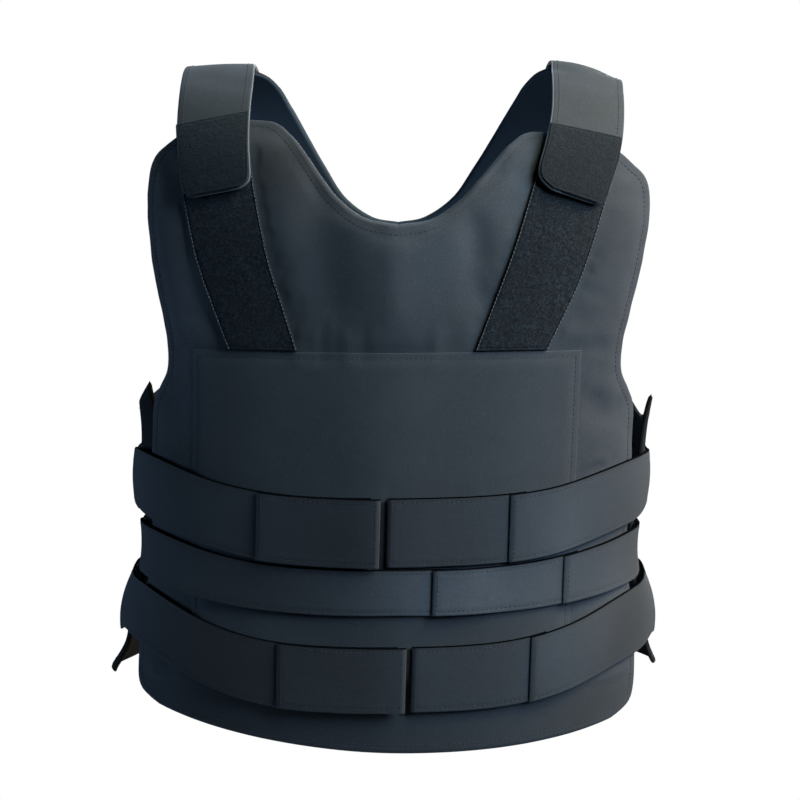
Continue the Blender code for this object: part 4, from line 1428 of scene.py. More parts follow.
@dataclass
class Panels:
    """The padded front panel, the back panel with its wings, and the overlay sewn on the belly."""

    shop: Workshop
    covered: dict[Face, Height]
    slot: str = "woven_nylon"
    swell: Swell = Swell()
    spacing: Spacing = Spacing(0.0028, 0.0030, 0.0075)
    back_spacing: Spacing = Spacing(0.0030, 0.0024, 0.0065)
    sheet_spacing: Spacing = Spacing(0.0030, 0.0016, 0.0045)
    front_yoke: tuple = (
        (0.0965, 0.1238, 0.140, 0.122),
        (0.089, 0.1275, 0.150, 0.128),
        (0.083, 0.1335, 0.162, 0.136),
        (0.077, 0.1405, 0.176, 0.147),
        (0.067, 0.154, 0.187, 0.158),
        (0.056, 0.169, 0.192, 0.173),
        (0.043, 0.184, 0.193, 0.192),
        (0.024, 0.197, 0.191, 0.217),
        (0.000, 0.2015, 0.186, 0.243),
    )
    front_body: tuple = (
        (0.000, 0.2015, 0.186, 0.243),
        (0.000, 0.238, 0.180, 0.269),
        (0.000, 0.272, 0.1755, 0.290),
        (0.000, 0.300, 0.176, 0.310),
        (0.000, 0.322, 0.185, 0.326),
        (0.000, 0.345, 0.192, 0.342),
        (0.000, 0.390, 0.1935, 0.385),
        (0.000, 0.450, 0.196, 0.440),
        (0.000, 0.510, 0.201, 0.495),
        (0.000, 0.560, 0.204, 0.540),
        (0.000, 0.582, 0.203, 0.562),
        (0.000, 0.592, 0.197, 0.573),
        (0.000, 0.5995, 0.180, 0.581),
    )
    front_bow: float = 0.0045
    shoulder_tilt: float = 0.055
    shoulder_span: tuple[float, float] = (0.120, 0.230)
    hem_tilt: float = 0.036
    hem_span: tuple[float, float] = (0.520, 0.600)
    back_yoke: tuple = (
        (0.117, 0.004, 0.168, 0.004),
        (0.1085, 0.030, 0.169, 0.035),
        (0.1005, 0.060, 0.171, 0.070),
        (0.0915, 0.094, 0.176, 0.110),
        (0.0785, 0.128, 0.183, 0.150),
        (0.0635, 0.158, 0.188, 0.185),
        (0.0465, 0.185, 0.189, 0.215),
        (0.023, 0.202, 0.186, 0.243),
        (0.000, 0.2065, 0.182, 0.268),
    )
    back_body: tuple = (
        (0.000, 0.2065, 0.182, 0.268),
        (0.000, 0.250, 0.183, 0.292),
        (0.000, 0.290, 0.189, 0.316),
        (0.000, 0.325, 0.200, 0.337),
        (0.000, 0.385, 0.201, 0.384),
        (0.000, 0.450, 0.200, 0.445),
        (0.000, 0.515, 0.200, 0.507),
        (0.000, 0.562, 0.200, 0.550),
        (0.000, 0.592, 0.200, 0.570),
    )
    back_bow: float = 0.006
    wings: dict[Hand, WingSize] = field(default_factory=lambda: {
        Hand.RIGHT: WingSize((
            # share down the seam, girth of the free end, drop of the free end
            (0.00, 0.314, 0.3235),
            (0.12, 0.317, 0.352),
            (0.40, 0.305, 0.425),
            (0.65, 0.286, 0.490),
            (0.85, 0.290, 0.536),
            (1.00, 0.300, 0.5635),
        ), 0.017),
        Hand.LEFT: WingSize((
            (0.00, 0.291, 0.336),
            (0.12, 0.292, 0.358),
            (0.40, 0.286, 0.425),
            (0.65, 0.279, 0.490),
            (0.85, 0.284, 0.534),
            (1.00, 0.294, 0.5580),
        ), 0.023),
    })
    curl: Array = field(default_factory=lambda: np.array((
        # drop, lift of the right wing's free edge, lift of the left's
        (0.330, 0.001, 0.007),
        (0.350, -0.001, 0.003),
        (0.375, -0.005, 0.000),
        (0.405, -0.001, 0.000),
        (0.430, 0.000, 0.000),
        (0.530, 0.000, 0.000),
        (0.545, 0.002, 0.002),
        (0.562, 0.0125, 0.0105),
    )))
    curl_span: tuple[float, float] = (0.240, 0.296)
    loop_span: tuple[float, float] = (0.198, 0.200)
    overlay_girths: tuple[float, float] = (-0.150, 0.138)
    overlay_drops: tuple[float, float] = (0.2935, 0.545)
    overlay_press: float = 0.012
    overlay_edge: float = 0.3
    cover_hem: Hem = Hem(seam=0.0075, depth=0.0001, seam_width=0.0012)
    # Dents in the padding of the chest, then the gathers above the overlay
    folds: tuple[Fold, ...] = (
        Fold((-0.0575, 0.196), (-0.0465, 0.256), 0.020, -0.0030),
        Fold((-0.0040, 0.208), (-0.0020, 0.262), 0.012, 0.0012),
        Fold((0.0550, 0.205), (0.0590, 0.250), 0.011, -0.0019),
        Fold((-0.068, 0.278), (-0.070, 0.300), 0.004, 0.0006),
        Fold((-0.052, 0.276), (-0.052, 0.300), 0.004, -0.0006),
        Fold((-0.036, 0.280), (-0.034, 0.300), 0.004, 0.0006),
        Fold((-0.022, 0.278), (-0.022, 0.300), 0.004, -0.0005),
        Fold((0.030, 0.280), (0.028, 0.300), 0.005, 0.0005),
    )

    # Girths and drops of the bottom of each slit between two tabs, where shade is painted dark on the front
    # panel and the overlay
    slits: tuple = (
        ((-0.0105, 0.0010), (0.404, 0.458)),
        ((0.0110, 0.0220), (0.518, 0.569)),
    )

    # Painted light and shade: lighter and darker places on the front
    spots: tuple[Spot, ...] = (
        Spot(-0.155, 0.275, (0.022, 0.070), 0.70),
        Spot(-0.084, 0.155, (0.028, 0.028), -0.45),
        Spot(0.024, 0.232, (0.034, 0.044), 0.45),
        Spot(0.076, 0.168, (0.024, 0.044), 0.36),
        Spot(0.150, 0.215, (0.025, 0.030), -0.28),
        Spot(0.158, 0.572, (0.034, 0.022), -0.42),
        Spot(-0.120, 0.578, (0.040, 0.024), -0.50),
        Spot(0.030, 0.590, (0.130, 0.022), -0.26),
    )

    def __post_init__(self) -> None:
        """Prepare the relief that the front panel and what is sewn on it share."""
        # The front's painted light and shade, from its spots
        self.tone = painted_light_and_shade(self.spots)
        folds = folded(self.folds)
        self.front_relief: Height = lambda girth, drop: folds(girth, drop) * (1 - ease(drop, *RELIEF_END))
        self.wing_loop: Height = lambda girth, drop: ease(np.abs(girth), *self.loop_span)

    def front_slope(self, drop: Array) -> Array:
        """How much lower the front lies for each metre to the wearer's left."""
        return (self.shoulder_tilt * (1 - ease(drop, *self.shoulder_span))
                + self.hem_tilt * ease(drop, *self.hem_span))

    def painted_slit_shade(self, girth: Array, drop: Array) -> Array:
        """One where shade is painted at the bottom of a slit between two tabs, and nought elsewhere."""
        inside = [(girth > girths[0]) & (girth < girths[1]) & (drop > drops[0]) & (drop < drops[1])
                  for girths, drops in self.slits]
        return np.any(inside, axis=0).astype(float)

    @staticmethod
    def front_padding(girth: Array, drop: Array) -> Array:
        """Wall of the front panel: thinner towards its shoulder edge."""
        return PANEL_TOP_WALL + (PANEL_WALL - PANEL_TOP_WALL) * ease(drop, *PANEL_TOP_SPAN)

    def overlay_wall(self, girth: Array, drop: Array) -> Array:
        """Wall of the overlay: a pressed edge that thickens inwards with an S-curve."""
        away = np.minimum(np.minimum(girth - self.overlay_girths[0], self.overlay_girths[1] - girth),
                          np.minimum(drop - self.overlay_drops[0], self.overlay_drops[1] - drop))
        share = self.overlay_edge + (1 - self.overlay_edge) * ease(away, 0.0, self.overlay_press)
        return OVERLAY_WALL * share

    @staticmethod
    def back_padding(girth: Array, drop: Array) -> Array:
        """Wall of the back panel: padded in the middle, plain cloth at the shoulders and in the wings."""
        body = WING_WALL + (BACK_WALL - WING_WALL) * ease(drop, *SHOULDER_SPAN)
        return body + (WING_WALL - body) * ease(np.abs(girth), *WING_SPAN)

    def wing_curl(self, girth: Array, drop: Array) -> Array:
        """Lift of the back panel: nothing but at the free ends of its wings."""
        right = curve_through(self.curl, 1, drop)
        left = curve_through(self.curl, 2, drop)
        return np.where(girth > 0, left, right) * ease(np.abs(girth), *self.curl_span)

    def front_pattern(self, spacing: Spacing) -> PanelPattern:
        """The front panel cut flat."""
        return PanelPattern(Face.FRONT, np.array(self.front_yoke), np.array(self.front_body),
                            self.front_bow, spacing, self.front_slope)

    def back_pattern(self, spacing: Spacing) -> PanelPattern:
        """The back panel and its wings cut flat."""
        return PanelPattern(Face.BACK, np.array(self.back_yoke), np.array(self.back_body),
                            self.back_bow, spacing, wings=self.wings)

    def swollen(self, cover: Cloth, pattern: Callable[[Spacing], PanelPattern]) -> Cloth:
        """A cover with the swelling of its pack."""
        pack = replace(cover, name=f"{cover.name}_pack", pattern=pattern(self.swell.spacing),
                       rim=self.swell.spacing.rim, second=None)
        swell = self.swell.of(pack, self.covered[cover.pattern.face])
        relief = cover.relief
        return replace(cover, relief=lambda girth, drop: relief(girth, drop) + swell(girth, drop))

    def build(self) -> None:
        """Build the three pieces and their stitching."""
        shop = self.shop
        # The front panel is darkened at the bottoms of the slits between tabs, as painted shade
        front = Cloth("front_panel_cover", shop.form, self.front_pattern(self.spacing),
                      FRONT_CREST.at, self.front_padding, self.spacing.rim,
                      self.cover_hem, self.front_relief,
                      dark=self.painted_slit_shade, tone=self.tone)
        front = self.swollen(front, self.front_pattern)
        piece = shop.hang(front.build(), self.slot, PANEL_NYLON, "front_panel")
        shop.sew(front, (self.spacing.seam,), self.slot)

        back = Cloth("back_panel_cover", shop.form, self.back_pattern(self.back_spacing),
                     self.wing_curl, self.back_padding, self.back_spacing.rim,
                     replace(self.cover_hem, seam=self.back_spacing.seam), second=self.wing_loop)
        back = self.swollen(back, self.back_pattern)
        piece = shop.hang(back.build(), self.slot, BACK_NYLON, "back_panel")
        shop.wardrobe.dress(piece, WING_PILE)
        shop.sew(back, (self.back_spacing.seam,), self.slot)

        # The overlay is darkened at the bottoms of the slits between tabs, as painted shade
        overlay = Cloth("front_overlay_cloth", shop.form,
                        SheetPattern(self.overlay_girths, self.overlay_drops, self.sheet_spacing),
                        FRONT_CREST.sewn, self.overlay_wall, self.sheet_spacing.rim,
                        Hem(seam=self.sheet_spacing.seam, depth=0.0001, meets=0.1), self.front_relief,
                        self.front_relief, self.painted_slit_shade, self.tone)
        piece = shop.hang(overlay.build(), self.slot, OVERLAY_NYLON, "front_overlay")
        thread = shop.sew(overlay, (self.sheet_spacing.seam,), self.slot)


# Shoulders


@dataclass
class Shoulder:
    """One shoulder: the loop strip on the chest, the piped strap, and the dark patch at the strap's end."""

    shop: Workshop
    hand: Hand
    chest_relief: Height
    strip_rows: tuple
    strap_rows: tuple
    patch_rows: tuple
    strap_folds: tuple[Fold, ...]
    strap_slot: str = "nylon_strap"
    loop_slot: str = "brushed_loop"
    strip_spacing: Spacing = Spacing(0.0011, 0.0007, 0.0018)
    strap_spacing: Spacing = Spacing(0.0017, 0.0016, 0.0050)
    piping_radius: float = 0.0007
    piping_inset: float = 0.0006
    piping_step: float = 0.0025
    edge_inset: float = 0.0009
    edge_stitching: Stitching = Stitching(0.0030, 0.0027, 0.00034, 0.0003)
    overhang: float = 0.0009
    strip_seed: int = 11
    patch_seed: int = 31
    strip_pile: float = 0.30 * MM
    patch_pile: float = 0.18 * MM
    # Sizes of the pile's curls, of its fine fibres and of its patches
    pile_cells: tuple[float, ...] = (0.0022, 0.0012, 0.0090)
    curl_waver: float = 0.7 * MM
    ridge_sharpness: float = 2.2
    lift_rows: Array = field(default_factory=lambda: np.array((
        # drop, lift of the strap's under side
        (-0.130, BACK_WALL + LAYER_GAP),
        (-0.060, 0.0088),
        (0.000, 0.0056),
        (0.060, 0.0074),
        (0.118, 0.0112),
        (0.150, ON_STRIP),
        (0.190, ON_STRIP),
    )))

    def strap_lift(self, girth: Array, drop: Array) -> Array:
        """Lift of the strap along its drop."""
        return curve_through(self.lift_rows, 1, drop)

    def under_patch(self, girth: Array, drop: Array) -> Array:
        """One where the strap lies under the patch, whose dark cloth wraps its edge."""
        inner, inner_drop, outer, outer_drop = self.patch_rows[0]
        top = inner_drop + (outer_drop - inner_drop) * (np.abs(girth) - inner) / (outer - inner)
        return ease(drop, top - MM, top + MM)

    def outer_share(self, flat: Array) -> Array:
        """One away from the strap's edge beside the neck, where the piping lies deeper in the hem."""
        rows = np.array(self.strap_rows)
        inner = np.interp(flat[:, 1], rows[:, 1], rows[:, 0])
        return ease(np.abs(flat[:, 0]) - inner, 0.004, 0.010)

    def wide_patch(self) -> Array:
        """The patch's rows with the pile's overhang on both sides and at the end."""
        rows = np.array(self.patch_rows)
        rows[:, 0] -= self.overhang
        rows[:, 2] += self.overhang
        rows[:, 1::2] += self.overhang * np.linspace(0.0, 1.0, len(rows))[:, None]
        return rows

    def patch_lift(self, girth: Array, drop: Array) -> Array:
        """Lift of the dark patch on the strap."""
        return self.strap_lift(girth, drop) + STRAP_WALL + SEWN_GAP

    def pile(self, seed: int, height: float) -> Callable[[Array], Array]:
        """Curled tufts: ridges where two layers of unevenness cross nought, times a patchy height."""
        curls, fine, patches = (Unevenness(seed + k, cell) for k, cell in enumerate(self.pile_cells))

        def tufts(flat: Array) -> Array:
            """Height of the pile at points of the flat cloth."""
            x, y = flat[..., 0], flat[..., 1]
            ridge = 1 - np.abs(curls.at(x + self.curl_waver * fine.at(x, y), y)) * self.ridge_sharpness
            patchy = 0.6 + 0.4 * patches.at(x, y)
            return height * (np.clip(ridge, -0.5, 1.0) * patchy + 0.35 * fine.at(x, y))
        return tufts

    def build(self) -> None:
        """Build the strip, the strap with its piping, and the patch."""
        side = self.hand.name.lower()
        shop = self.shop
        strip = Cloth(f"chest_strip_{side}_pile", shop.form,
                      StripPattern(self.strip_rows, self.hand, self.strip_spacing),
                      FRONT_CREST.sewn, constant(STRIP_WALL), self.strip_spacing.rim,
                      Hem(seam=self.strip_spacing.seam, depth=0.0003, seam_width=0.0006, meets=0.1),
                      self.chest_relief, self.chest_relief,
                      pile=self.pile(self.strip_seed + self.hand, self.strip_pile))
        piece = shop.hang(strip.build(), self.loop_slot, LOOP_PILE, f"chest_strip_{side}")
        thread = shop.sew(strip, (), self.loop_slot, EDGE_THREAD, self.edge_stitching,
                          strip.pattern.long_sides(self.edge_inset))

        folds = folded(self.strap_folds)
        strap = Cloth(f"shoulder_strap_{side}_cloth", shop.form,
                      StripPattern(self.strap_rows, self.hand, self.strap_spacing),
                      self.strap_lift, constant(STRAP_WALL), self.strap_spacing.rim,
                      PLAIN_EDGE, folds, folds, dark=self.under_patch)
        piece = shop.hang(strap.build(), self.strap_slot, STRAP_NYLON, f"shoulder_strap_{side}")
        thread = shop.sew(strap, (self.strap_spacing.seam,), self.strap_slot)
        loop = even_loop(strap.pattern.inset(self.piping_inset), self.piping_step)
        points, normals = strap.surface(loop, sink=self.piping_radius * (1 + self.outer_share(loop)))
        piping = shop.hang(tube(f"shoulder_strap_{side}_piping", points, normals, self.piping_radius),
                           self.strap_slot, PIPING_CORD)

        patch = Cloth(f"strap_patch_{side}_pile", shop.form,
                      StripPattern(self.wide_patch(), self.hand, self.strip_spacing),
                      self.patch_lift, constant(PATCH_WALL), self.strip_spacing.rim,
                      Hem(seam=self.strip_spacing.seam, depth=0.0002, seam_width=0.0006, meets=0.1),
                      folds, folds, pile=self.pile(self.patch_seed + self.hand, self.patch_pile))
        piece = shop.hang(patch.build(), self.loop_slot, PATCH_PILE, f"strap_patch_{side}")


RIGHT_SHOULDER = {
    "strip_rows": (
        (0.109, 0.150, 0.1635, 0.150),
        (0.1045, 0.175, 0.1595, 0.179),
        (0.092, 0.227, 0.148, 0.225),
        (0.080, 0.263, 0.135, 0.260),
        (0.070, 0.2925, 0.1215, 0.2925),
    ),
    "strap_rows": (
        (0.112, -0.130, 0.168, -0.130),
        (0.1150, -0.070, 0.169, -0.070),
        (0.1170, 0.000, 0.170, 0.000),
        (0.1130, 0.060, 0.169, 0.060),
        (0.111, 0.117, 0.1665, 0.117),
        (0.109, 0.145, 0.1635, 0.146),
        (0.1065, 0.167, 0.1595, 0.171),
        (0.1075, 0.1735, 0.157, 0.1795),
        (0.113, 0.178, 0.150, 0.184),
    ),
    "patch_rows": (
        (0.1125, 0.1165, 0.1648, 0.1275),
        (0.1107, 0.1430, 0.1615, 0.1480),
        (0.1085, 0.1653, 0.1577, 0.1705),
        (0.1095, 0.1718, 0.1553, 0.1776),
        (0.1148, 0.1760, 0.1492, 0.1818),
    ),
    "strap_folds": (
        Fold((-0.150, 0.070), (-0.115, 0.085), 0.012, -0.0008),
    ),
}
LEFT_SHOULDER = {
    "strip_rows": (
        (0.102, 0.155, 0.160, 0.155),
        (0.0933, 0.185, 0.151, 0.188),
        (0.0845, 0.214, 0.142, 0.217),
        (0.0745, 0.244, 0.132, 0.246),
        (0.0575, 0.2925, 0.111, 0.2925),
    ),
    "strap_rows": (
        (0.114, -0.130, 0.170, -0.130),
        (0.115, -0.070, 0.171, -0.070),
        (0.116, 0.000, 0.1717, 0.000),
        (0.114, 0.060, 0.1693, 0.062),
        (0.111, 0.113, 0.166, 0.120),
        (0.105, 0.143, 0.1605, 0.152),
        (0.0995, 0.163, 0.153, 0.177),
        (0.101, 0.172, 0.150, 0.185),
        (0.109, 0.179, 0.142, 0.1885),
    ),
    "patch_rows": (
        (0.1103, 0.1275, 0.1610, 0.1385),
        (0.1064, 0.1450, 0.1580, 0.1555),
        (0.1016, 0.1620, 0.1511, 0.1753),
        (0.1030, 0.1703, 0.1482, 0.1830),
        (0.1106, 0.1770, 0.1412, 0.1865),
    ),
    "strap_folds": (
        Fold((0.112, 0.048), (0.122, 0.052), 0.010, -0.0022),
        Fold((0.124, 0.030), (0.150, 0.020), 0.012, 0.0010),
        Fold((0.126, 0.072), (0.158, 0.080), 0.012, -0.0008),
    ),
}

SHOULDERS = {Hand.RIGHT: RIGHT_SHOULDER, Hand.LEFT: LEFT_SHOULDER}


# Bands


@dataclass(frozen=True)
class TabSize:
    """A pull tab: its band, the girth of its two ends, the layer that each end lies in, and how far its left
    end stands up."""

    band: str
    start: float
    end: float
    start_layer: int
    end_layer: int
    stands_up: float = 0.0


@dataclass
class Girdle:
    """The three bands round the body and the pull tabs at their ends."""

    shop: Workshop
    slot: str = "nylon_band"
    spacing: Spacing = Spacing(0.0026, 0.0009, 0.0035)
    hem: Hem = Hem(0.0065, 0.0001, 0.0035, 0.00015)
    overlap: float = 0.030
    settle: float = 0.040
    bridge: float = 0.016
    back_gap: float = 0.0010
    taper: float = 0.0032
    end_share: float = 0.50
    waver_seed: int = 50
    waver_cell: float = 0.045
    bands: dict[str, BandSize] = field(default_factory=lambda: {
        "upper_band": BandSize(0.401, 0.053, (0.0245, 0.0270), (0.0215, 0.0230), 0.009, 0.0150,
                               0.0004, 0.0044, 0.0011, -0.014, 0.0863),
        "middle_band": BandSize(0.4555, 0.036, (0.0210, 0.0120), (0.0180, 0.0085), 0.000, 0.0110,
                                0.0008, 0.0006, 0.0002, 0.050, 0.129),
        "lower_band": BandSize(0.515, 0.0505, (0.0300, 0.0365), (0.0270, 0.0280), 0.0045, 0.0270,
                               0.0042, 0.0034, 0.0030, 0.008, 0.1058),
    })
    tabs: dict[str, TabSize] = field(default_factory=lambda: {
        "upper_tab_right": TabSize("upper_band", -0.0970, -0.0072, 1, 1, 0.0015),
        "upper_tab_left": TabSize("upper_band", -0.0024, 0.0985, 0, 0),
        "middle_tab": TabSize("middle_band", 0.0320, 0.1410, 1, 0),
        "lower_tab_right": TabSize("lower_band", -0.0800, 0.0146, 1, 1, 0.0008),
        "lower_tab_left": TabSize("lower_band", 0.0186, 0.1180, 0, 0),
    })

    # Painted light and shade: lighter and darker places on each band and its tabs
    spots: dict[str, tuple[Spot, ...]] = field(default_factory=lambda: {
        "upper_band": (
            Spot(-0.040, 0.430, (0.050, 0.060), -0.52),
            Spot(0.118, 0.420, (0.034, 0.060), 0.40),
        ),
        "middle_band": (
            Spot(0.050, 0.473, (0.080, 0.060), 0.84),
            Spot(-0.100, 0.473, (0.040, 0.060), -0.34),
        ),
        "lower_band": (
            Spot(-0.115, 0.530, (0.050, 0.060), -0.95),
            Spot(-0.026, 0.530, (0.034, 0.060), -0.42),
            Spot(0.124, 0.530, (0.020, 0.060), 0.30),
            Spot(0.195, 0.510, (0.025, 0.060), -0.65),
        ),
    })

    def around_lift(self, girth: Array, drop: Array) -> Array:
        """Lift of what runs round the body: over the front panel, down to the wing, over the back panel."""
        away = np.abs(girth)
        front = FLANK_LIFT + (BAND_LIFT - FLANK_LIFT) * (1 - ease(away, *FLANK_SPAN))
        front = front + FRONT_CREST.at(girth, drop)
        from_back = self.shop.form.half_girth(drop) - away - self.bridge
        back = Panels.back_padding(from_back, drop) + self.back_gap
        return np.where(away < FLANK_SPAN[1], front, back)

    def band_lift(self, size: BandSize) -> Height:
        """Lift of a band: its left end rides over the base of the tab, and it stands off the wings."""
        climbed = size.left_end + self.overlap

        def lift(girth: Array, drop: Array) -> Array:
            """The band's lift at a girth and a drop."""
            away = np.abs(girth)
            climb = (1 - ease(girth, climbed, climbed + self.settle)) * (girth > size.left_end - LEAST_STEP)
            at_flank = ease(away, *FLANK_SPAN) * (1 - ease(away, *BACK_SPAN))
            off = size.stand_off(girth, drop) * at_flank
            return self.around_lift(girth, drop) + LAYER_STEP * climb + off
        return lift

    def tapered(self, wall: float, ends: tuple[float, float]) -> Height:
        """Wall of a band or tab between the girths of its ends, where the cloth is folded and pressed.

        It is wall * (share + (1 - share) * S-curve of the distance to the nearer end / taper).
        """
        def height(girth: Array, drop: Array) -> Array:
            """The wall at a girth."""
            away = np.minimum(np.abs(girth - ends[0]), np.abs(girth - ends[1]))
            return wall * (self.end_share + (1 - self.end_share) * ease(away, 0.0, self.taper))
        return height

    def tab_lift(self, tab: TabSize) -> Height:
        """Lift of a tab, from the layer of its first end down to that of its last."""
        settles = self.bands[tab.band].right_end + LAYER_GAP

        def lift(girth: Array, drop: Array) -> Array:
            """The tab's lift at a girth and a drop."""
            down = ease(girth, settles, settles + self.settle)
            layer = tab.start_layer + (tab.end_layer - tab.start_layer) * down
            up = tab.stands_up * ease(girth, tab.end - self.settle, tab.end)
            return self.around_lift(girth, drop) + layer * LAYER_STEP + up
        return lift

    def _webbing(self, name: str, band: str, pattern: Pattern, lift: Height, wall: Height,
                 rests_on: list[str]) -> None:
        """Make and sew one band or tab, whose dark selvedge and soiled places are its band's.

        Args:
            name: the CAD node that it replaces.
            band: the band that it belongs to.
            pattern: its flat cut.
            lift: its height over the torso.
            wall: how thick it is.
            rests_on: the pieces that it lies on; not used.
        """
        shop = self.shop
        # Shade is painted along the top edge: a dark colour, and a finish without glint or sheen
        painted_edge_shade = self.bands[band].painted_edge_shade
        # Its tone is its band's painted light and shade
        cloth = Cloth(f"{name}_webbing", shop.form, pattern, lift, wall, self.spacing.rim, self.hem,
                      dark=painted_edge_shade, tone=painted_light_and_shade(self.spots[band]), second=painted_edge_shade)
        piece = shop.hang(cloth.build(), self.slot, BAND_NYLON, name)
        shop.wardrobe.dress(piece, EDGE_SHADE_NYLON)
        thread = shop.sew(cloth, (self.spacing.seam,), self.slot)

    def build(self) -> None:
        """Build the bands, then the tabs."""
        for number, (name, size) in enumerate(self.bands.items()):
            waver = Unevenness(self.waver_seed + number, self.waver_cell)
            self._webbing(name, name, BandPattern(self.shop.form, size, self.spacing, waver),
                          self.band_lift(size), self.tapered(BAND_WALL, (size.right_end, size.left_end)),
                          ["front_overlay_cloth", "back_panel_cover"])
        for name, tab in self.tabs.items():
            pattern = TabPattern(self.bands[tab.band], tab.start, tab.end, self.spacing)
            self._webbing(name, tab.band, pattern, self.tab_lift(tab),
                          self.tapered(TAB_WALL, (tab.start, tab.end)), [f"{tab.band}_webbing"])


@dataclass
class Covers:
    """Where something lies on each panel, with a margin round it."""

    bands: dict[str, BandSize]
    shoulders: dict[Hand, dict]
    margin: float = 0.005
    strap_girths: tuple[float, float] = (0.112, 0.171)
    strap_drop: float = 0.130
    wing_girth: float = 0.190
    hem_drop: float = 0.555

    def under_bands(self, girth: Array, drop: Array) -> Array:
        """Whether a place lies under a band."""
        return self._within([np.abs(size.across(girth, drop) - 0.5) * size.width
                             for size in self.bands.values()])

    def on_front(self, girth: Array, drop: Array) -> Array:
        """One under the bands, the overlay, the strips and the straps, and at the hem, which has no pack."""
        girths, drops = Panels.overlay_girths, Panels.overlay_drops
        found = self.under_bands(girth, drop) | (drop > self.hem_drop) | (
            (girth > girths[0] - self.margin) & (girth < girths[1] + self.margin)
            & (drop > drops[0] - self.margin) & (drop < drops[1] + self.margin))
        for hand, rows in self.shoulders.items():
            # The strap's rows in front of the shoulder, then the strip's that show below it
            table = np.array(rows["strap_rows"][-5:-2] + rows["strip_rows"][2:])
            away = girth * hand
            inner = np.interp(drop, table[:, 1], table[:, 0])
            outer = np.interp(drop, table[:, 3], table[:, 2])
            found |= (away > inner - self.margin) & (away < outer + self.margin) & (drop < drops[0])
        return found.astype(float)

    def on_back(self, girth: Array, drop: Array) -> Array:
        """One under the bands and the straps, and on the wings, which have no pack."""
        away = np.abs(girth)
        strapped = ((away > self.strap_girths[0] - self.margin) & (away < self.strap_girths[1] + self.margin)
                    & (drop < self.strap_drop + self.margin))
        return (self.under_bands_behind(girth, drop) | strapped | (away > self.wing_girth)).astype(float)

    def under_bands_behind(self, girth: Array, drop: Array) -> Array:
        """Whether a place on the back lies under a band, which runs level there."""
        return self._within([np.abs(drop - size.top + size.back_rise - size.width / 2)
                             for size in self.bands.values()])

    def _within(self, distances: list[Array]) -> Array:
        """Whether any distance to a band's middle line is under half its width and the margin."""
        return np.any([away < size.width / 2 + self.margin
                       for away, size in zip(distances, self.bands.values())], axis=0)


# Studio


@dataclass(frozen=True)
class Lamp:
    """A soft square light: its bearing, to the right of the camera, its height angle, size and power."""

    bearing: float
    height: float
    size: float
    power: float
    colour: str
    distance: float = 2.6


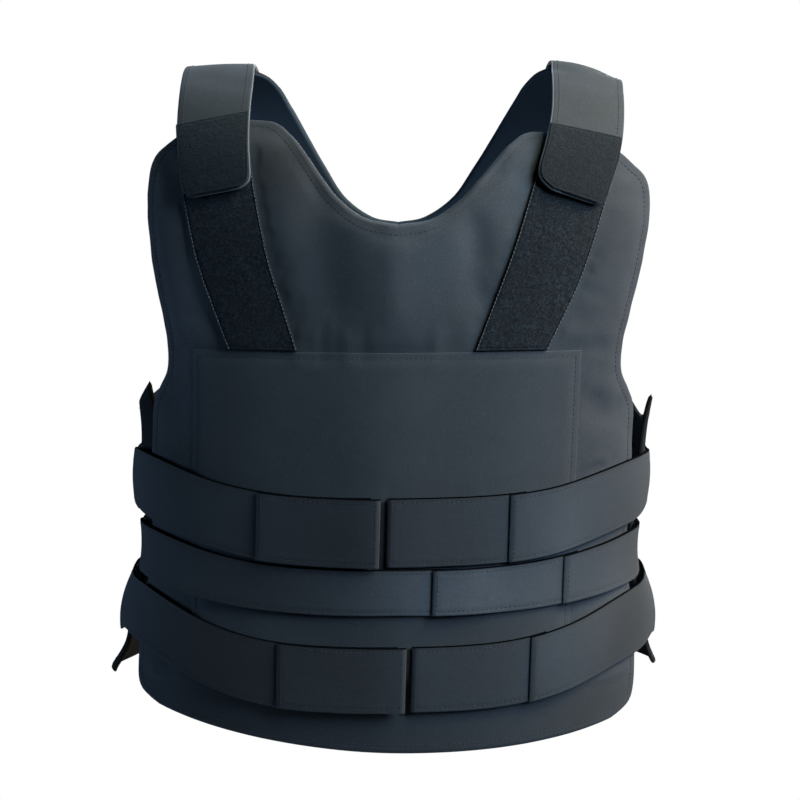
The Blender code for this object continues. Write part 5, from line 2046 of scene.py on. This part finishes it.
@dataclass
class Studio:
    """A pale seamless room, soft lights and the camera at the photo's viewing angle."""

    target: tuple[float, float, float] = (-0.002, 0.0, -0.267)
    distance: float = 1.360
    elevation: float = math.radians(8)
    lens: float = 75.0
    sensor: float = 36.0
    floor_height: float = -0.600
    room_radius: float = 3.4
    wall_height: float = 4.0
    sweep: float = 1.4
    lamps: dict[str, Lamp] = field(default_factory=lambda: {
        "key_low": Lamp(60, 25, 1.0, 79.8, "#c5e1ff"),
        "key_high": Lamp(60, 50, 1.0, 51.7, "#f6ffe7"),
        "side": Lamp(90, 35, 1.0, 90.1, "#ffdfb8"),
        "fill": Lamp(-90, 5, 1.0, 24.5, "#b5d9ff"),
        "back": Lamp(180, 55, 1.0, 24.0, "#8fc4f8"),
        "floor": Lamp(0, -80, 1.0, 24.0, "#c8dcf2"),
        "behind": Lamp(170, 8, 1.4, 75.0, "#eef0f2"),
    })

    def build(self) -> None:
        """Make the camera, the room and the lights."""
        self._camera()
        self._room()
        for name, lamp in self.lamps.items():
            self._light(name, lamp)
        world = bpy.data.worlds.new("unlit")
        world.use_nodes = True
        world.node_tree.nodes["Background"].inputs["Strength"].default_value = 0.0
        bpy.context.scene.world = world
        bpy.context.scene.view_settings.view_transform = "Standard"

    def _camera(self) -> None:
        """The camera looks at the target from the front, a little above."""
        camera = bpy.data.objects.new("camera", bpy.data.cameras.new("camera"))
        camera.data.lens = self.lens
        camera.data.sensor_width = self.sensor
        away = Vector((0.0, -math.cos(self.elevation), math.sin(self.elevation)))
        camera.location = Vector(self.target) + self.distance * away
        camera.rotation_euler = (math.pi / 2 - self.elevation, 0.0, 0.0)
        bpy.context.scene.collection.objects.link(camera)
        bpy.context.scene.camera = camera

    def _room(self) -> None:
        """A round floor that sweeps up to a wall all round: one profile of radii and heights, turned about Z.

        It glows evenly and neither lights nor shades the vest, as in a photo that was cut out on white.
        """
        turn = np.linspace(0.0, math.pi / 2, 16)
        inner = self.room_radius - self.sweep
        radius = np.concatenate([[0.0], inner + self.sweep * np.sin(turn), [self.room_radius]])
        rise = np.concatenate([[0.0], self.sweep * (1 - np.cos(turn)), [self.wall_height]])
        height = rise + self.floor_height
        angle = np.linspace(0.0, 2 * math.pi, 97)[:-1]
        corners = np.stack([np.outer(radius, np.cos(angle)), np.outer(radius, np.sin(angle)),
                            np.repeat(height[:, None], len(angle), axis=1)], axis=-1).reshape(-1, 3)
        number = np.arange(len(corners)).reshape(len(radius), len(angle))
        faces = quads_of(np.column_stack([number, number[:, :1]]))
        room = mesh_object("white_room", corners, faces.tolist())
        material, _, shader = new_material("white_paper")
        shader.inputs["Base Color"].default_value = linear("#000000")
        shader.inputs["Specular IOR Level"].default_value = 0.0
        shader.inputs["Roughness"].default_value = 0.9
        shader.inputs["Emission Color"].default_value = (1.0, 1.0, 1.0, 1.0)
        shader.inputs["Emission Strength"].default_value = 1.0
        room.data.materials.append(material)
        room.visible_diffuse = False
        room.visible_glossy = False
        room.visible_shadow = False

    def _light(self, name: str, lamp: Lamp) -> None:
        """A soft square light that faces the vest."""
        bearing = math.radians(lamp.bearing)
        height = math.radians(lamp.height)
        way = Vector((math.cos(height) * math.sin(bearing), -math.cos(height) * math.cos(bearing),
                      math.sin(height)))
        light = bpy.data.objects.new(name, bpy.data.lights.new(name, "AREA"))
        light.data.size = lamp.size
        light.data.energy = lamp.power
        light.data.color = linear(lamp.colour)[:3]
        light.location = Vector(self.target) + lamp.distance * way
        light.rotation_euler = way.to_track_quat("Z", "Y").to_euler()
        bpy.context.scene.collection.objects.link(light)


def main() -> None:
    """Load the frame and build every piece on it, and the studio."""
    logging.basicConfig(level=logging.INFO, format="%(name)s: %(message)s")
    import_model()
    shop = Workshop(TorsoForm(), Wardrobe())
    girdle = Girdle(shop)
    covers = Covers(girdle.bands, SHOULDERS)
    panels = Panels(shop, {Face.FRONT: covers.on_front, Face.BACK: covers.on_back})
    panels.build()
    for hand, rows in SHOULDERS.items():
        Shoulder(shop, hand, panels.front_relief, **rows).build()
    girdle.build()
    Studio().build()


if __name__ == "__main__":
    main()
